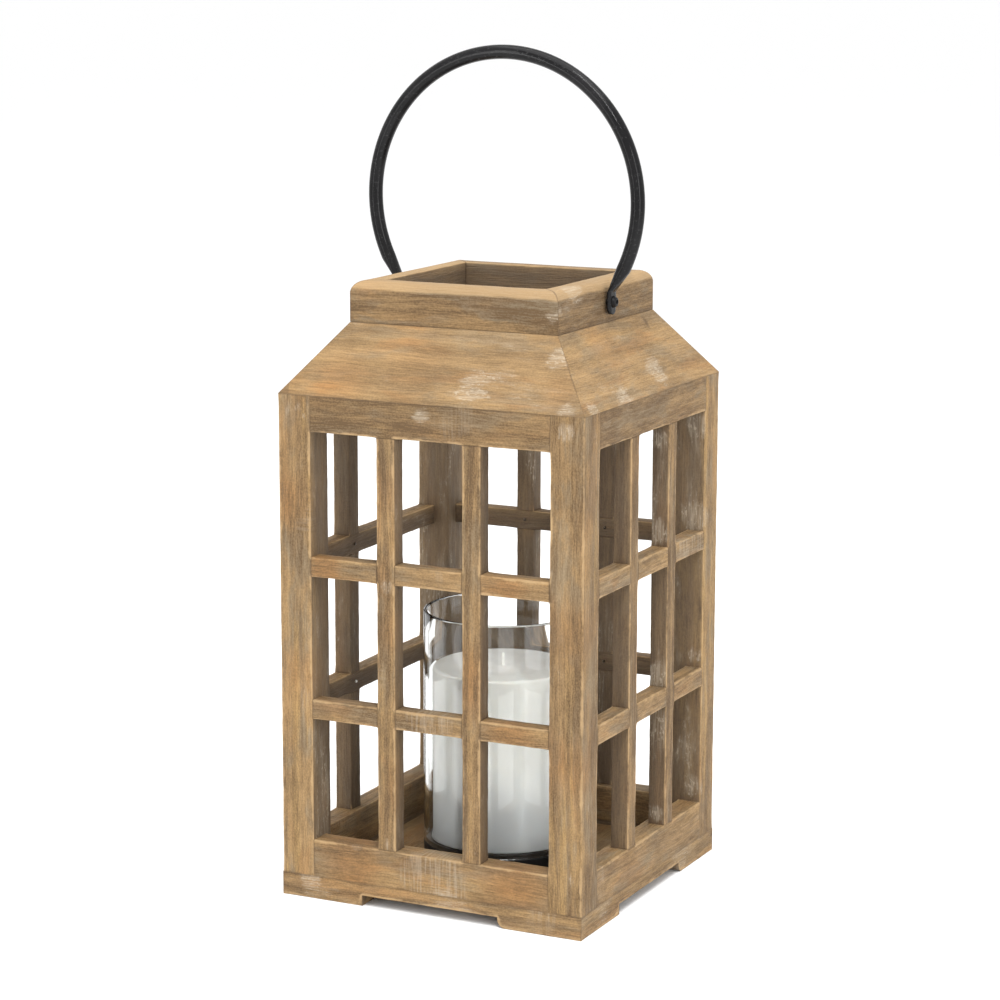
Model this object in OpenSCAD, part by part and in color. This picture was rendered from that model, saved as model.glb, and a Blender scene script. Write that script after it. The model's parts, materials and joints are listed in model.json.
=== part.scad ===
// Hanging candle lantern: a square wooden cage with a hipped top, an iron carrying bail,
// and a pillar candle inside a glass chimney. The origin is on the standing plane, under
// the middle of the body; the bail swings about the X axis and the front looks along -Y.

/* [Body] */
// Outside width and depth of the square body
body_w = 175; // [168:1:200]
// Side of the square corner posts
post_w = 19; // [16:0.5:22]
// Thickness of the rails and the base strips
rail_t = 13.5; // [12:0.5:14.5]
// Height of the bottom rails
bottom_rail_h = 20; // [16:0.5:26]
// Height of the top rails
top_rail_h = 19; // [14:0.5:24]
// Height of each of the nine panes on a side
pane_h = 65.7; // [62:0.1:74]

/* [Glazing bars] */
// Width of the glazing bars as seen from outside
bar_w = 10.7; // [8:0.1:14]
// Depth of the glazing bars, flush with the outside
bar_d = 10; // [8:0.5:12]
// Diameter of the steel pins through the crossings
pin_d = 1.6; // [1.2:0.1:2]

/* [Base] */
// Height of the base strips, feet included
base_h = 12.5; // [11:0.5:16]
// Length of the foot left at each end of a base strip
foot_len = 48; // [40:1:60]
// Height of the cut-out between the feet
foot_h = 5.6; // [4.5:0.1:6]
// Thickness of the floor board
floor_t = 5; // [4:0.5:6]

/* [Roof and collar] */
// Rise of the sloping roof boards
roof_rise = 35.7; // [30:0.1:42]
// Thickness of the roof boards, square to the slope
roof_t = 12; // [9:0.5:14]
// Outside width of the square collar
collar_w = 119.5; // [118:0.5:123]
// Inside width of the collar, the opening that the candle goes in by
collar_open = 92; // [89:0.5:93]
// Height of the collar
collar_h = 21.6; // [20:0.1:26]
// Radius that the outer top edge of the collar boards is rounded to
collar_round = 6.5; // [4:0.5:10]

/* [Bail] */
// Diameter of the iron rod
rod_d = 7.5; // [7:0.1:8]
// Radius of the rod's centre line
bail_r = 76.5; // [76:0.1:80]
// Height of the centre of the bail's circle above the pivots
bail_rise = 50.6; // [49:0.1:54]
// Thickness of the flattened ends
tab_t = 2.6; // [2.2:0.1:3.5]
// Width of the flattened ends
tab_w = 9; // [8:0.5:14]
// Diameter of the pivot screws' shanks
pivot_d = 4; // [3.6:0.1:5]

/* [Glass and candle] */
// Outside diameter of the glass chimney
glass_d = 86; // [84:0.5:87]
// Wall thickness of the glass
glass_wall = 2; // [1.5:0.1:2.5]
// Height of the glass
glass_h = 127.8; // [100:0.1:150]
// Diameter of the candle
candle_d = 76.2; // [70:0.2:77]
// Height of the candle
candle_h = 94.3; // [60:0.1:110]
// Thickness of the candle plate, its locating spigot included
plate_h = 12; // [9:0.5:16]

/* [Hidden] */
half = body_w / 2;
inner_half = half - rail_t;
post_in = half - post_w;
rail_z = base_h;
pane_z = rail_z + bottom_rail_h;
pitch_z = pane_h + bar_w;
top_rail_z = pane_z + 3 * pane_h + 2 * bar_w;
eave_z = top_rail_z + top_rail_h;
collar_z = eave_z + roof_rise;
collar_half = collar_w / 2;
open_half = collar_open / 2;
collar_t = collar_half - open_half;
// Distance of the upright bars' centres from the middle of a side
bar_x = (2 * post_in - 2 * bar_w) / 6 + bar_w / 2;
bar_levels = [pane_z + pane_h, pane_z + pane_h + pitch_z];

// How far a cut runs past the face that it opens
over = 1;
// Radius of the rounded end of each cut-out between the feet
foot_round = 0.8 * foot_h;
// Wood left between the points of the pins and the outside of the bars
pin_stop = 2;
pin_proud = 0.8;

// Floor, candle plate, glass and candle
floor_drop = 0.6;
floor_z = foot_h - floor_drop;
floor_top = floor_z + floor_t;
spigot_h = 2.5;
spigot_gap = 0.4;
plate_top = floor_top + plate_h;
glass_z = plate_top - spigot_h;
candle_z = plate_top;
candle_top = candle_z + candle_h;
candle_edge = 2;
wick_d = 2;
wick_above = 7;
wick_below = 12;
plate_screw_d = 4;
plate_screw_head = 8;
plate_screw_socket = 2.4;
sink_h = 2;
// Solid metal left above the plate screw's hole, and free room at the screw's point
plate_skin = 4;
screw_room = 1;

// Bail
pivot_z = collar_z + collar_h / 2;
bail_z = pivot_z + bail_rise;
tab_gap = 1;
tab_x = collar_half + tab_gap;
tab_top = 5;
// Depth below the pivots of the centre of a flattened end's rounding
tab_low = 2.2;
arc_low = 17;
arc_end = asin((bail_rise - arc_low) / bail_r);
bore_gap = 0.06;
// Thickness of the end slices that the forged taper is drawn between
slice = 0.1;
head_d = 6.4;
head_top_d = 4.4;
head_h = 1.9;
socket_d = 2.6;
socket_h = 0.9;
screw_len = 11;

SIDES = ["front", "right", "back", "left"];
CORNERS = ["front_right", "back_right", "back_left", "front_left"];
LEVELS = ["lower", "upper"];
// The bar at the left and at the right of a side, seen from outside
HANDS = ["left", "right"];

// ---- Helpers ------------------------------------------------------------

// Turns the front side's part round to side number i
module on_side(i) {
    rotate([0, 0, 90 * i])
        children();
}

// The quarter of the plan that belongs to the front side, cut on its mitres
module mitre_wedge(z, h) {
    reach = body_w;
    translate([0, 0, z])
        linear_extrude(h)
            polygon([[0, 0], [-reach, -reach], [reach, -reach]]);
}

// A prism along X whose cross-section is given as [distance from the middle, height]
module front_prism(section, length) {
    translate([-length / 2, 0, 0])
        rotate([90, 0, 90])
            linear_extrude(length)
                polygon([for (p = section) [-p[0], p[1]]]);
}

// ---- Wooden cage ----------------------------------------------------------

module post() {
    color("peru")
        translate([post_in, -half, rail_z])
            cube([post_w, post_w, eave_z - rail_z]);
}

module base_strip() {
    cut_half = half - foot_len;
    color("tan")
        intersection() {
            difference() {
                translate([-half, -half, 0])
                    cube([body_w, rail_t, base_h]);
                translate([-cut_half, -half - over, -over])
                    cube([2 * cut_half, rail_t + 2 * over, foot_h + over]);
                // The foot at the right is rounded off towards the cut-out
                translate([cut_half - over, -half - over, -over])
                    cube([foot_round + over, rail_t + 2 * over, foot_round + over]);
            }
            mitre_wedge(-over, base_h + 2 * over);
        }
    color("tan")
        intersection() {
            translate([cut_half + foot_round, -half + rail_t, foot_round])
                rotate([90, 0, 0])
                    cylinder(h = rail_t, r = foot_round, $fn = 48);
            translate([cut_half, -half, 0])
                cube([foot_round, rail_t, foot_round]);
        }
}

module bottom_rail() {
    color("sienna")
        translate([-post_in, -half, rail_z])
            cube([2 * post_in, rail_t, bottom_rail_h]);
}

module top_rail() {
    color("burlywood")
        translate([-post_in, -half, top_rail_z])
            cube([2 * post_in, rail_t, top_rail_h]);
}

// An upright glazing bar, halved from behind at each crossing
module upright_bar(x) {
    color("peru")
        difference() {
            translate([x - bar_w / 2, -half, pane_z])
                cube([bar_w, bar_d, top_rail_z - pane_z]);
            for (z = bar_levels)
                translate([x - bar_w / 2 - over, -half + bar_d / 2, z])
                    cube([bar_w + 2 * over, bar_d / 2 + over, bar_w]);
            for (z = bar_levels)
                pin_hole(x, z);
        }
}

// A level glazing bar, halved from the front at each crossing
module cross_bar(z) {
    color("tan")
        difference() {
            translate([-post_in, -half, z])
                cube([2 * post_in, bar_d, bar_w]);
            for (x = [-bar_x, bar_x])
                translate([x - bar_w / 2, -half - over, z - over])
                    cube([bar_w, bar_d / 2 + over, bar_w + 2 * over]);
            for (x = [-bar_x, bar_x])
                pin_hole(x, z);
        }
}

// The hole for one pin, drilled from inside and stopping short of the outside
module pin_hole(x, z) {
    translate([x, -half + bar_d + over, z + bar_w / 2])
        rotate([90, 0, 0])
            cylinder(h = bar_d - pin_stop + over, d = pin_d, $fn = 24);
}

module bar_pins() {
    color("silver")
        for (i = [0 : 3], x = [-bar_x, bar_x], z = bar_levels)
            on_side(i)
                translate([x, -half + bar_d + pin_proud, z + bar_w / 2])
                    rotate([90, 0, 0])
                        cylinder(h = bar_d - pin_stop + pin_proud, d = pin_d, $fn = 24);
}

module floor_board() {
    color("chocolate")
        difference() {
            translate([-inner_half, -inner_half, floor_z])
                cube([2 * inner_half, 2 * inner_half, floor_t]);
            translate([0, 0, floor_z - over])
                cylinder(h = floor_t + 2 * over, d = plate_screw_d, $fn = 48);
            translate([0, 0, floor_z])
                cylinder(h = sink_h, d1 = plate_screw_head, d2 = plate_screw_d, $fn = 48);
        }
}

// ---- Roof and collar --------------------------------------------------------

module roof_board() {
    // Level width of a board, from its thickness square to the slope
    level_t = roof_t * norm([half - collar_half, roof_rise]) / roof_rise;
    slope = roof_rise / (half - collar_half);
    inner_foot = half - level_t;
    color("tan")
        intersection() {
            front_prism([
                [half, eave_z],
                [collar_half, collar_z],
                [open_half, collar_z],
                [open_half, eave_z + (inner_foot - open_half) * slope],
                [inner_foot, eave_z]
            ], body_w);
            mitre_wedge(eave_z - over, roof_rise + 2 * over);
        }
}

module collar_board(drilled) {
    color("burlywood")
        difference() {
            intersection() {
                union() {
                    translate([-collar_half, -collar_half, collar_z])
                        cube([collar_w, collar_t, collar_h - collar_round]);
                    translate([-collar_half, collar_round - collar_half, collar_z])
                        cube([collar_w, collar_t - collar_round, collar_h]);
                    translate([-collar_half, collar_round - collar_half,
                               collar_z + collar_h - collar_round])
                        rotate([0, 90, 0])
                            cylinder(h = collar_w, r = collar_round, $fn = 96);
                }
                mitre_wedge(collar_z - over, collar_h + 2 * over);
            }
            if (drilled)
                translate([0, -collar_half + screw_len, pivot_z])
                    rotate([90, 0, 0])
                        cylinder(h = screw_len + over, d = pivot_d, $fn = 48);
        }
}

// ---- Bail and its pivots --------------------------------------------------

module pivot_screw() {
    shank_out = tab_gap + tab_t + bore_gap;
    color("dimgray")
        translate([collar_half, 0, pivot_z])
            rotate([0, 90, 0]) {
                translate([0, 0, -screw_len])
                    cylinder(h = screw_len + shank_out, d = pivot_d, $fn = 48);
                difference() {
                    translate([0, 0, shank_out])
                        cylinder(h = head_h, d1 = head_d, d2 = head_top_d, $fn = 48);
                    translate([0, 0, shank_out + head_h - socket_h])
                        cylinder(h = socket_h + over, d = socket_d, $fn = 6);
                }
            }
}

// One flattened end with its pivot eye, and the forged taper up into the rod
module bail_end() {
    arc_x = bail_r * cos(arc_end);
    difference() {
        union() {
            translate([tab_x, 0, pivot_z - tab_low])
                rotate([0, 90, 0])
                    cylinder(h = tab_t, d = tab_w, $fn = 64);
            translate([tab_x, -tab_w / 2, pivot_z - tab_low])
                cube([tab_t, tab_w, tab_low + tab_top]);
        }
        translate([tab_x - over, 0, pivot_z])
            rotate([0, 90, 0])
                cylinder(h = tab_t + 2 * over, r = pivot_d / 2 + bore_gap, $fn = 64);
    }
    hull() {
        translate([tab_x, -tab_w / 2, pivot_z + tab_top - slice])
            cube([tab_t, tab_w, slice]);
        translate([arc_x, 0, bail_z - bail_r * sin(arc_end)])
            rotate([0, arc_end, 0])
                cylinder(h = slice, d = rod_d, $fn = 32);
    }
}

module bail() {
    color("black") {
        translate([0, 0, bail_z])
            rotate([90, 0, 0])
                rotate([0, 0, -arc_end])
                    rotate_extrude(angle = 180 + 2 * arc_end, $fn = 160)
                        translate([bail_r, 0])
                            circle(d = rod_d, $fn = 32);
        bail_end();
        mirror([1, 0, 0])
            bail_end();
    }
}

// ---- Candle plate, glass and candle ------------------------------------------

module candle_plate() {
    color("black")
        difference() {
            union() {
                translate([0, 0, floor_top])
                    cylinder(h = plate_h - spigot_h, d = glass_d, $fn = 128);
                translate([0, 0, floor_top])
                    cylinder(h = plate_h, r = glass_d / 2 - glass_wall - spigot_gap, $fn = 128);
            }
            translate([0, 0, floor_top - over])
                cylinder(h = plate_h - plate_skin + over, d = plate_screw_d, $fn = 48);
        }
}

module plate_screw() {
    screw_reach = floor_t + plate_h - plate_skin - screw_room;
    color("silver")
        difference() {
            translate([0, 0, floor_z]) {
                cylinder(h = screw_reach, d = plate_screw_d, $fn = 48);
                cylinder(h = sink_h, d1 = plate_screw_head, d2 = plate_screw_d, $fn = 48);
            }
            translate([0, 0, floor_z - over])
                cylinder(h = socket_h + over, d = plate_screw_socket, $fn = 6);
        }
}

module glass_chimney() {
    lip = glass_wall / 2;
    wall_r = glass_d / 2 - lip;
    color("lightcyan")
        rotate_extrude($fn = 160) {
            translate([wall_r - lip, glass_z])
                square([glass_wall, glass_h - lip]);
            translate([wall_r, glass_z + glass_h - lip])
                circle(r = lip, $fn = 32);
        }
}

module candle() {
    color("ivory")
        difference() {
            union() {
                translate([0, 0, candle_z])
                    cylinder(h = candle_h - candle_edge, d = candle_d, $fn = 128);
                translate([0, 0, candle_top - candle_edge])
                    cylinder(h = candle_edge, d1 = candle_d, d2 = candle_d - candle_edge, $fn = 128);
            }
            translate([0, 0, candle_top - wick_below])
                cylinder(h = wick_below + over, d = wick_d, $fn = 32);
        }
}

module wick() {
    color("white")
        translate([0, 0, candle_top - wick_below])
            cylinder(h = wick_below + wick_above, d = wick_d, $fn = 32);
}

// ---- Assembly ---------------------------------------------------------------

for (i = [0 : 3]) {
    on_side(i) post();
    on_side(i) base_strip();
    on_side(i) bottom_rail();
    on_side(i) top_rail();
    on_side(i) roof_board();
    on_side(i) collar_board(i % 2 == 1);
}
for (i = [0 : 3], j = [0 : 1]) {
    on_side(i) upright_bar((2 * j - 1) * bar_x);
    on_side(i) cross_bar(bar_levels[j]);
}
bar_pins();
floor_board();
candle_plate();
plate_screw();
mirror([1, 0, 0]) pivot_screw();  // pivot_screw_left
pivot_screw();  // pivot_screw_right
bail();
glass_chimney();
candle();
wick();
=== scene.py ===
"""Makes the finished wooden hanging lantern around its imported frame."""

import json
import math
import random
from contextlib import contextmanager

import bmesh
import bpy
import numpy as np
from bpy.props import FloatProperty, FloatVectorProperty, IntProperty, PointerProperty
from mathutils import Matrix, Vector, noise


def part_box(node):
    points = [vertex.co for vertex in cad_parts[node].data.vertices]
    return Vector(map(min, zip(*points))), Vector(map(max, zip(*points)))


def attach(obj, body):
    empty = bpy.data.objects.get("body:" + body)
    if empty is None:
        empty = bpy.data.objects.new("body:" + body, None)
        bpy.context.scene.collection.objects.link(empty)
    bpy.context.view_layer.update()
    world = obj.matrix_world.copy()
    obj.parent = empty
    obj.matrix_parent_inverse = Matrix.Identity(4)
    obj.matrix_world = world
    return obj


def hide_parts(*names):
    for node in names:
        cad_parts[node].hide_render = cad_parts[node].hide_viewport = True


bl_info = {
    "name": "Wooden hanging lantern",
    "version": (1, 0, 0),
    "blender": (4, 5, 0),
    "location": "3D View > Sidebar > Lantern",
    "description": "Makes a weathered wooden candle lantern with an iron bail and a glass chimney",
    "category": "Object",
}

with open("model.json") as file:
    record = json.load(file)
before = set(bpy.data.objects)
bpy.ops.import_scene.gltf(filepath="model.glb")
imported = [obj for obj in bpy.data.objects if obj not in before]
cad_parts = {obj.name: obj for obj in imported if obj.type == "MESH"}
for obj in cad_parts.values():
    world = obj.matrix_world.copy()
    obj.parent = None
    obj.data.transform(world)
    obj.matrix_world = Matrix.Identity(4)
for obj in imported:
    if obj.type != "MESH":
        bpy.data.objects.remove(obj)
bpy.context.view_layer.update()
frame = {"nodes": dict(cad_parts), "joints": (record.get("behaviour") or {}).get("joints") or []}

MM = 0.001
SIDES = ("front", "right", "back", "left")
CORNERS = ("front_right", "back_right", "back_left", "front_left")
HANDS = ("left", "right")
LEVELS = ("lower", "upper")
FAMILIES = (
    "post", "base_strip", "bottom_rail", "top_rail", "upright_bar", "cross_bar",
    "roof_board", "collar_board", "floor_board",
)
MITRED = ("base_strip", "roof_board", "collar_board")

ALONG_X, ALONG_Y, ALONG_Z = Vector((1, 0, 0)), Vector((0, 1, 0)), Vector((0, 0, 1))
# Height above which the collar's rounded top is lighter: a painted highlight from the light above, with
# some rubbing
COLLAR_BAND = 322.5 * MM
# The ways that the open faces of a front piece look; faces turned away from all of them get painted
# shade
OUTWARD = ((0, -1, 0), (0, 0, 1))
# Greatest distance between two pieces that touch, and between two points at one level
TOUCH, LEVEL = 0.05 * MM, 0.01 * MM
# Distance of the extra mesh lines from each crossing, and reach of the nicks along an open edge
BESIDE, NICK_REACH = 1.2 * MM, 2.5 * MM
# Size of the lumps that the faces are worn by, and of the nicks in the edges
FACE_LUMP, NICK_LUMP = 14 * MM, 4.5 * MM
# Greatest depth of the nicks, as a share of the wear of the faces
NICK_DEPTH = 2.4
# Size of the patches over which the rounding of an edge changes, and its least share
ROUND_PATCH, ROUND_LEAST = 9 * MM, 0.5
# Greatest difference in tone between two boards of a family
TONE_SPREAD = 0.06

# Marks of use on single pieces: the kind, the place in millimetres, its reach and its strength
MARKS = ("rubbed", "warmed", "sawn", "bruised")
USE = {
    "roof_board_front": (
        ("rubbed", (22, -80, 279), 17, 0.9), ("rubbed", (-29, -80, 279), 9, 0.6),
        ("rubbed", (-62, -70, 293), 12, 0.5), ("rubbed", (64, -68, 295), 11, 0.8),
        ("rubbed", (77, -86, 271), 9, 0.9), ("warmed", (-54, -82, 277), 20, 0.6),
        ("warmed", (-15, -70, 290), 24, 0.25), ("warmed", (70, -80, 279), 12, 0.4),
    ),
    "roof_board_right": (
        ("rubbed", (80, -50, 280), 12, 0.8), ("rubbed", (81, 18, 278), 16, 0.9),
        ("rubbed", (85, -38, 273), 20, 0.9), ("rubbed", (87, -74, 271), 10, 1.0),
        ("warmed", (66, -20, 297), 22, 0.35), ("bruised", (63, 42, 301.5), 3.2, 0.8),
    ),
    "collar_board_front": (
        ("rubbed", (57, -59, 316), 8, 0.9), ("rubbed", (-50, -59, 314), 12, 0.5),
        ("warmed", (-50, -55, 325), 12, 0.6),
    ),
    "collar_board_right": (
        ("rubbed", (59, -44, 315), 18, 0.7), ("rubbed", (58, -36, 325), 20, 0.8),
        ("rubbed", (59, -58, 317), 7, 0.9),
    ),
    "collar_board_back": tuple(("bruised", (x, 54, 329), 10, 0.55) for x in range(-54, 55, 9)),
    "top_rail_front": (
        ("rubbed", (-4, -87, 263), 10, 1.0),
    ),
    "top_rail_right": (("rubbed", (87, -60, 264), 10, 0.8),),
    "bottom_rail_front": (
        ("warmed", (-46, -87, 24), 22, 0.9), ("warmed", (50, -87, 24), 24, 0.9),
        ("sawn", (2, -87, 22), 23, 0.9), ("rubbed", (10, -87, 11), 13, 0.7),
        ("rubbed", (-44, -87, 33), 9, 0.8), ("rubbed", (0, -84, 33), 7, 0.8),
    ),
    "bottom_rail_right": (("rubbed", (87, -62, 29), 9, 0.9), ("rubbed", (87, 20, 30), 9, 0.6)),
    "base_strip_front": (
        ("rubbed", (-71, -87, 11), 11, 1.0), ("rubbed", (12, -87, 5), 28, 0.8),
        ("sawn", (64, -87, 6), 20, 0.8), ("rubbed", (80, -87, 6), 10, 0.7),
    ),
    "base_strip_right": (("rubbed", (87, -60, 8), 18, 0.6), ("rubbed", (87, 40, 8), 22, 0.6)),
    "cross_bar_front_lower": (
        ("sawn", (0, -87, 104), 20, 0.9), ("warmed", (46, -87, 104), 18, 0.9),
        ("rubbed", (-50, -87, 108), 9, 0.5),
    ),
    "cross_bar_front_upper": (
        ("warmed", (-60, -87, 182), 12, 0.9), ("sawn", (4, -87, 180), 12, 0.35),
        ("warmed", (40, -87, 178), 16, 0.5),
    ),
    "cross_bar_right_upper": (("rubbed", (87, -56, 184), 9, 0.8),),
    "upright_bar_front_left": (
        ("rubbed", (-24, -87, 174), 9, 0.9), ("warmed", (-24, -87, 225), 16, 0.5),
        ("warmed", (-22, -87, 150), 14, 0.6), ("rubbed", (-24, -87, 36), 6, 0.6),
    ),
    "upright_bar_front_right": (
        ("warmed", (25, -87, 128), 24, 0.9), ("rubbed", (20, -87, 98), 5, 0.8),
        ("rubbed", (26, -87, 64), 9, 0.7), ("rubbed", (25, -87, 36), 8, 0.6),
    ),
    "upright_bar_right_left": (("rubbed", (82, -20, 192), 10, 0.9), ("rubbed", (82, -20, 243), 8, 0.6)),
    "upright_bar_right_right": (
        ("rubbed", (82, 19, 192), 12, 1.0), ("rubbed", (82, 19, 115), 10, 0.9),
        ("rubbed", (82, 19, 38), 8, 0.9), ("rubbed", (82, 19, 243), 9, 0.7),
    ),
    "post_front_left": (
        ("rubbed", (-78, -87, 263), 12, 0.8), ("rubbed", (-70, -87, 256), 9, 0.6),
        ("warmed", (-82, -87, 215), 18, 0.6), ("rubbed", (-80, -87, 40), 10, 0.6),
        ("warmed", (-76, -87, 120), 20, 0.4),
    ),
    "post_front_right": (
        ("rubbed", (77, -87, 261), 11, 1.0), ("rubbed", (86, -76, 257), 8, 0.7),
        ("warmed", (84, -87, 160), 22, 0.5), ("warmed", (72, -87, 90), 22, 0.5),
        ("rubbed", (80, -87, 30), 10, 0.6), ("rubbed", (70, -87, 140), 9, 0.5),
    ),
    "post_back_right": (
        ("rubbed", (84, 69, 192), 14, 1.0), ("rubbed", (84, 69, 115), 10, 0.8),
        ("rubbed", (84, 69, 243), 12, 0.8), ("rubbed", (84, 69, 40), 10, 0.8),
    ),
}


# ---- Settings ---------------------------------------------------------------------


def length(name, description, default, **limits):
    """A length setting, with its default and limits in millimetres."""
    limits = {key: value * MM for key, value in limits.items()}
    return FloatProperty(name=name, description=description, default=default * MM,
                         unit="LENGTH", **limits)


def shade(name, description, default):
    """A colour setting."""
    return FloatVectorProperty(name=name, description=description, default=default,
                               min=0.0, max=1.0, subtype="COLOR")


class LanternTimber(bpy.types.PropertyGroup):
    """How the wooden pieces are worn and coloured, with their painted shade and highlight"""

    arris: length("Arris wear", "Width that the open edges are worn round by", 1.0, min=0.2, max=2.0)
    seam: FloatProperty(
        name="Seam share", description="Share of the wear that is left on edges in a joint",
        default=0.07, min=0.02, max=1.0, subtype="FACTOR",
    )
    slice: length(
        "Mesh spacing", "Distance between the mesh lines along a piece", 3.0, min=1.5, max=10.0)
    hollow: length(
        "Surface wear", "Greatest depth that the open faces are worn by", 0.15, min=0.0, max=1.0)
    pale: shade("Pale wood", "Colour of the soft, pale part of the grain", (0.322, 0.203, 0.090))
    dark: shade("Dark wood", "Colour of the hard, dark part of the grain", (0.102, 0.060, 0.026))
    warm: shade("Warm wood", "Colour of the orange-brown patches", (0.320, 0.160, 0.054))
    gold: shade("Golden wood", "Colour of the long golden streaks", (0.390, 0.245, 0.092))
    grey: shade("Weathered wood", "Colour of the greyed patches", (0.215, 0.172, 0.112))
    wash: shade("Limewash", "Colour of the white left in the grain", (0.470, 0.400, 0.305))
    # Rubbed arrises, and also the painted highlight on the collar's top band
    rub_and_highlight: shade("Rubbed wood and painted highlight", "Colour of the bright arrises and the collar's top band",
                 (0.420, 0.280, 0.140))
    # Painted shade on the faces turned away from the open sides
    painted_recess_shade: shade("Painted recess shade", "Colour of the shade painted on the rough faces inside the panes",
                (0.085, 0.060, 0.040))
    dirt: shade("Seam dirt", "Colour of the dirt in the seams", (0.070, 0.042, 0.022))


class LanternFittings(bpy.types.PropertyGroup):
    """Sizes and colours of the iron, the glass and the candle"""

    rod: length("Rod diameter", "Diameter of the iron rod of the bail", 7.5, min=6, max=9)
    tab_width: length("Eye width", "Width of the flattened ends of the bail", 9, min=8, max=12)
    tab_thickness: length(
        "Eye thickness", "Thickness of the flattened ends of the bail", 2.6, min=2, max=4)
    iron: shade("Iron paint", "Colour of the black paint on the bail", (0.007, 0.0068, 0.0072))
    wax: shade("Wax", "Colour of the candle", (0.74, 0.72, 0.68))
    # Painted shade towards the candle's foot
    wax_foot_shade: shade("Wax foot shade", "Grey of the shade painted on the candle's lower part", (0.47, 0.47, 0.47))
    glass_wall: length("Glass wall", "Thickness of the glass chimney's wall", 2, min=1, max=3)
    round_sides: IntProperty(
        name="Sides of round pieces", description="Faces round the glass, candle and plate",
        default=128, min=48, max=256,
    )


class LanternStudio(bpy.types.PropertyGroup):
    """The camera and the lights"""

    camera_place: FloatVectorProperty(
        name="Camera place", description="Where the camera stands",
        default=(0.7026, -1.4292, 0.5097), subtype="XYZ", unit="LENGTH",
    )
    camera_target: FloatVectorProperty(
        name="Camera target", description="The point that the camera looks at",
        default=(-0.0017, -0.0009, 0.2065), subtype="XYZ", unit="LENGTH",
    )
    camera_roll: FloatProperty(
        name="Camera roll", description="How far the camera is turned about its own axis",
        default=math.radians(0.1), subtype="ANGLE",
    )
    lens: FloatProperty(
        name="Lens", description="Focal length in millimetres on a 36 mm wide sensor",
        default=109.24, min=20, max=300,
    )
    sky: FloatProperty(
        name="Room light", description="Strength of the white light from all round",
        default=1.04, min=0.0, max=3.0,
    )
    box_power: FloatProperty(
        name="Soft box power", description="Power of the large soft box overhead",
        default=21.0, min=0.0, max=500.0, unit="POWER",
    )


# ---- Working on one piece ------------------------------------------------------------


def pick(*pieces):
    """Leaves only these pieces selected, with the first one active."""
    if bpy.context.object and bpy.context.object.mode != "OBJECT":
        bpy.ops.object.mode_set(mode="OBJECT")
    bpy.ops.object.select_all(action="DESELECT")
    for piece in pieces:
        piece.select_set(True)
    bpy.context.view_layer.objects.active = pieces[0]


def settle():
    """Moves the active piece's place, turn and size into its mesh."""
    bpy.ops.object.transform_apply(location=True, rotation=True, scale=True)


@contextmanager
def editing(piece):
    """Edit mode on one piece, with all of it selected to begin with."""
    pick(piece)
    bpy.ops.object.mode_set(mode="EDIT")
    bpy.ops.mesh.select_all(action="SELECT")
    yield
    bpy.ops.object.mode_set(mode="OBJECT")


def choose(piece, kind, rule):
    """In edit mode, selects only the faces or edges that pass a rule."""
    bpy.ops.mesh.select_mode(type=kind)
    bpy.ops.mesh.select_all(action="DESELECT")
    mesh = bmesh.from_edit_mesh(piece.data)
    for item in mesh.faces if kind == "FACE" else mesh.edges:
        if rule(item):
            item.select_set(True)
    bmesh.update_edit_mesh(piece.data)


def middle(edge):
    """The middle point of an edge."""
    return (edge.verts[0].co + edge.verts[1].co) / 2


def is_level(edge, height):
    """Whether both ends of an edge are at this height."""
    return all(abs(v.co.z - height) < LEVEL for v in edge.verts)


def add_blank(name, low, high):
    """A board blank between two corners."""
    bpy.ops.object.select_all(action="DESELECT")
    low, high = Vector(low), Vector(high)
    bpy.ops.mesh.primitive_cube_add(size=1, location=(low + high) / 2)
    piece = bpy.context.object
    piece.name = name
    piece.scale = high - low
    settle()
    return piece


def add_round(name, radius, bottom, top, sides, top_radius=None):
    """A round blank about Z, closed at both ends, between two heights."""
    bpy.ops.object.select_all(action="DESELECT")
    bpy.ops.mesh.primitive_cone_add(
        vertices=sides, radius1=radius, depth=top - bottom, end_fill_type="NGON",
        radius2=radius if top_radius is None else top_radius,
        location=(0, 0, (bottom + top) / 2),
    )
    bpy.context.object.name = name
    settle()
    return bpy.context.object


def saw(point, normal, off=False):
    """In edit mode, cuts a line through all of the piece, or saws off what lies beyond it."""
    bpy.ops.mesh.select_all(action="SELECT")
    bpy.ops.mesh.bisect(plane_co=point, plane_no=normal, use_fill=off, clear_outer=off)


def saw_lines(axis, places):
    """In edit mode, cuts lines square to an axis at these places along it."""
    for place in places:
        saw(axis * place, axis)


def mitre():
    """In edit mode, saws both ends of a front board off at 45 degrees."""
    for way in (1, -1):
        saw((0, 0, 0), (way, 1, 0), off=True)


def modifier(piece, kind, **settings):
    """Adds a modifier and applies it."""
    pick(piece)
    made = piece.modifiers.new(kind.lower(), kind)
    for name, value in settings.items():
        setattr(made, name, value)
    bpy.ops.object.modifier_apply(modifier=made.name)


def round_edges(offset, segments=3):
    """In edit mode, rounds the selected edges."""
    bpy.ops.mesh.bevel(offset=offset, segments=segments, profile=0.5, affect="EDGES")


def push(vector):
    """In edit mode, extrudes the selected faces along a vector."""
    bpy.ops.mesh.extrude_region_move(TRANSFORM_OT_translate={"value": vector})


def cut_with(piece, cutter):
    """Cuts the shape of one piece out of another, and removes the cutter."""
    modifier(piece, "BOOLEAN", object=cutter, operation="DIFFERENCE", solver="EXACT")
    bpy.data.objects.remove(cutter, do_unlink=True)


def smooth(piece, angle=35):
    """Shades a piece smooth except at its sharp edges."""
    pick(piece)
    bpy.ops.object.shade_smooth_by_angle(angle=math.radians(angle))


def turned(piece, quarter):
    """Turns a piece round Z by quarter turns."""
    pick(piece)
    piece.rotation_euler = (0, 0, quarter * math.pi / 2)
    settle()


def twin(piece, name):
    """A copy of a piece with a mesh of its own."""
    pick(piece)
    bpy.ops.object.duplicate()
    bpy.context.object.name = name
    return bpy.context.object


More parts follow.
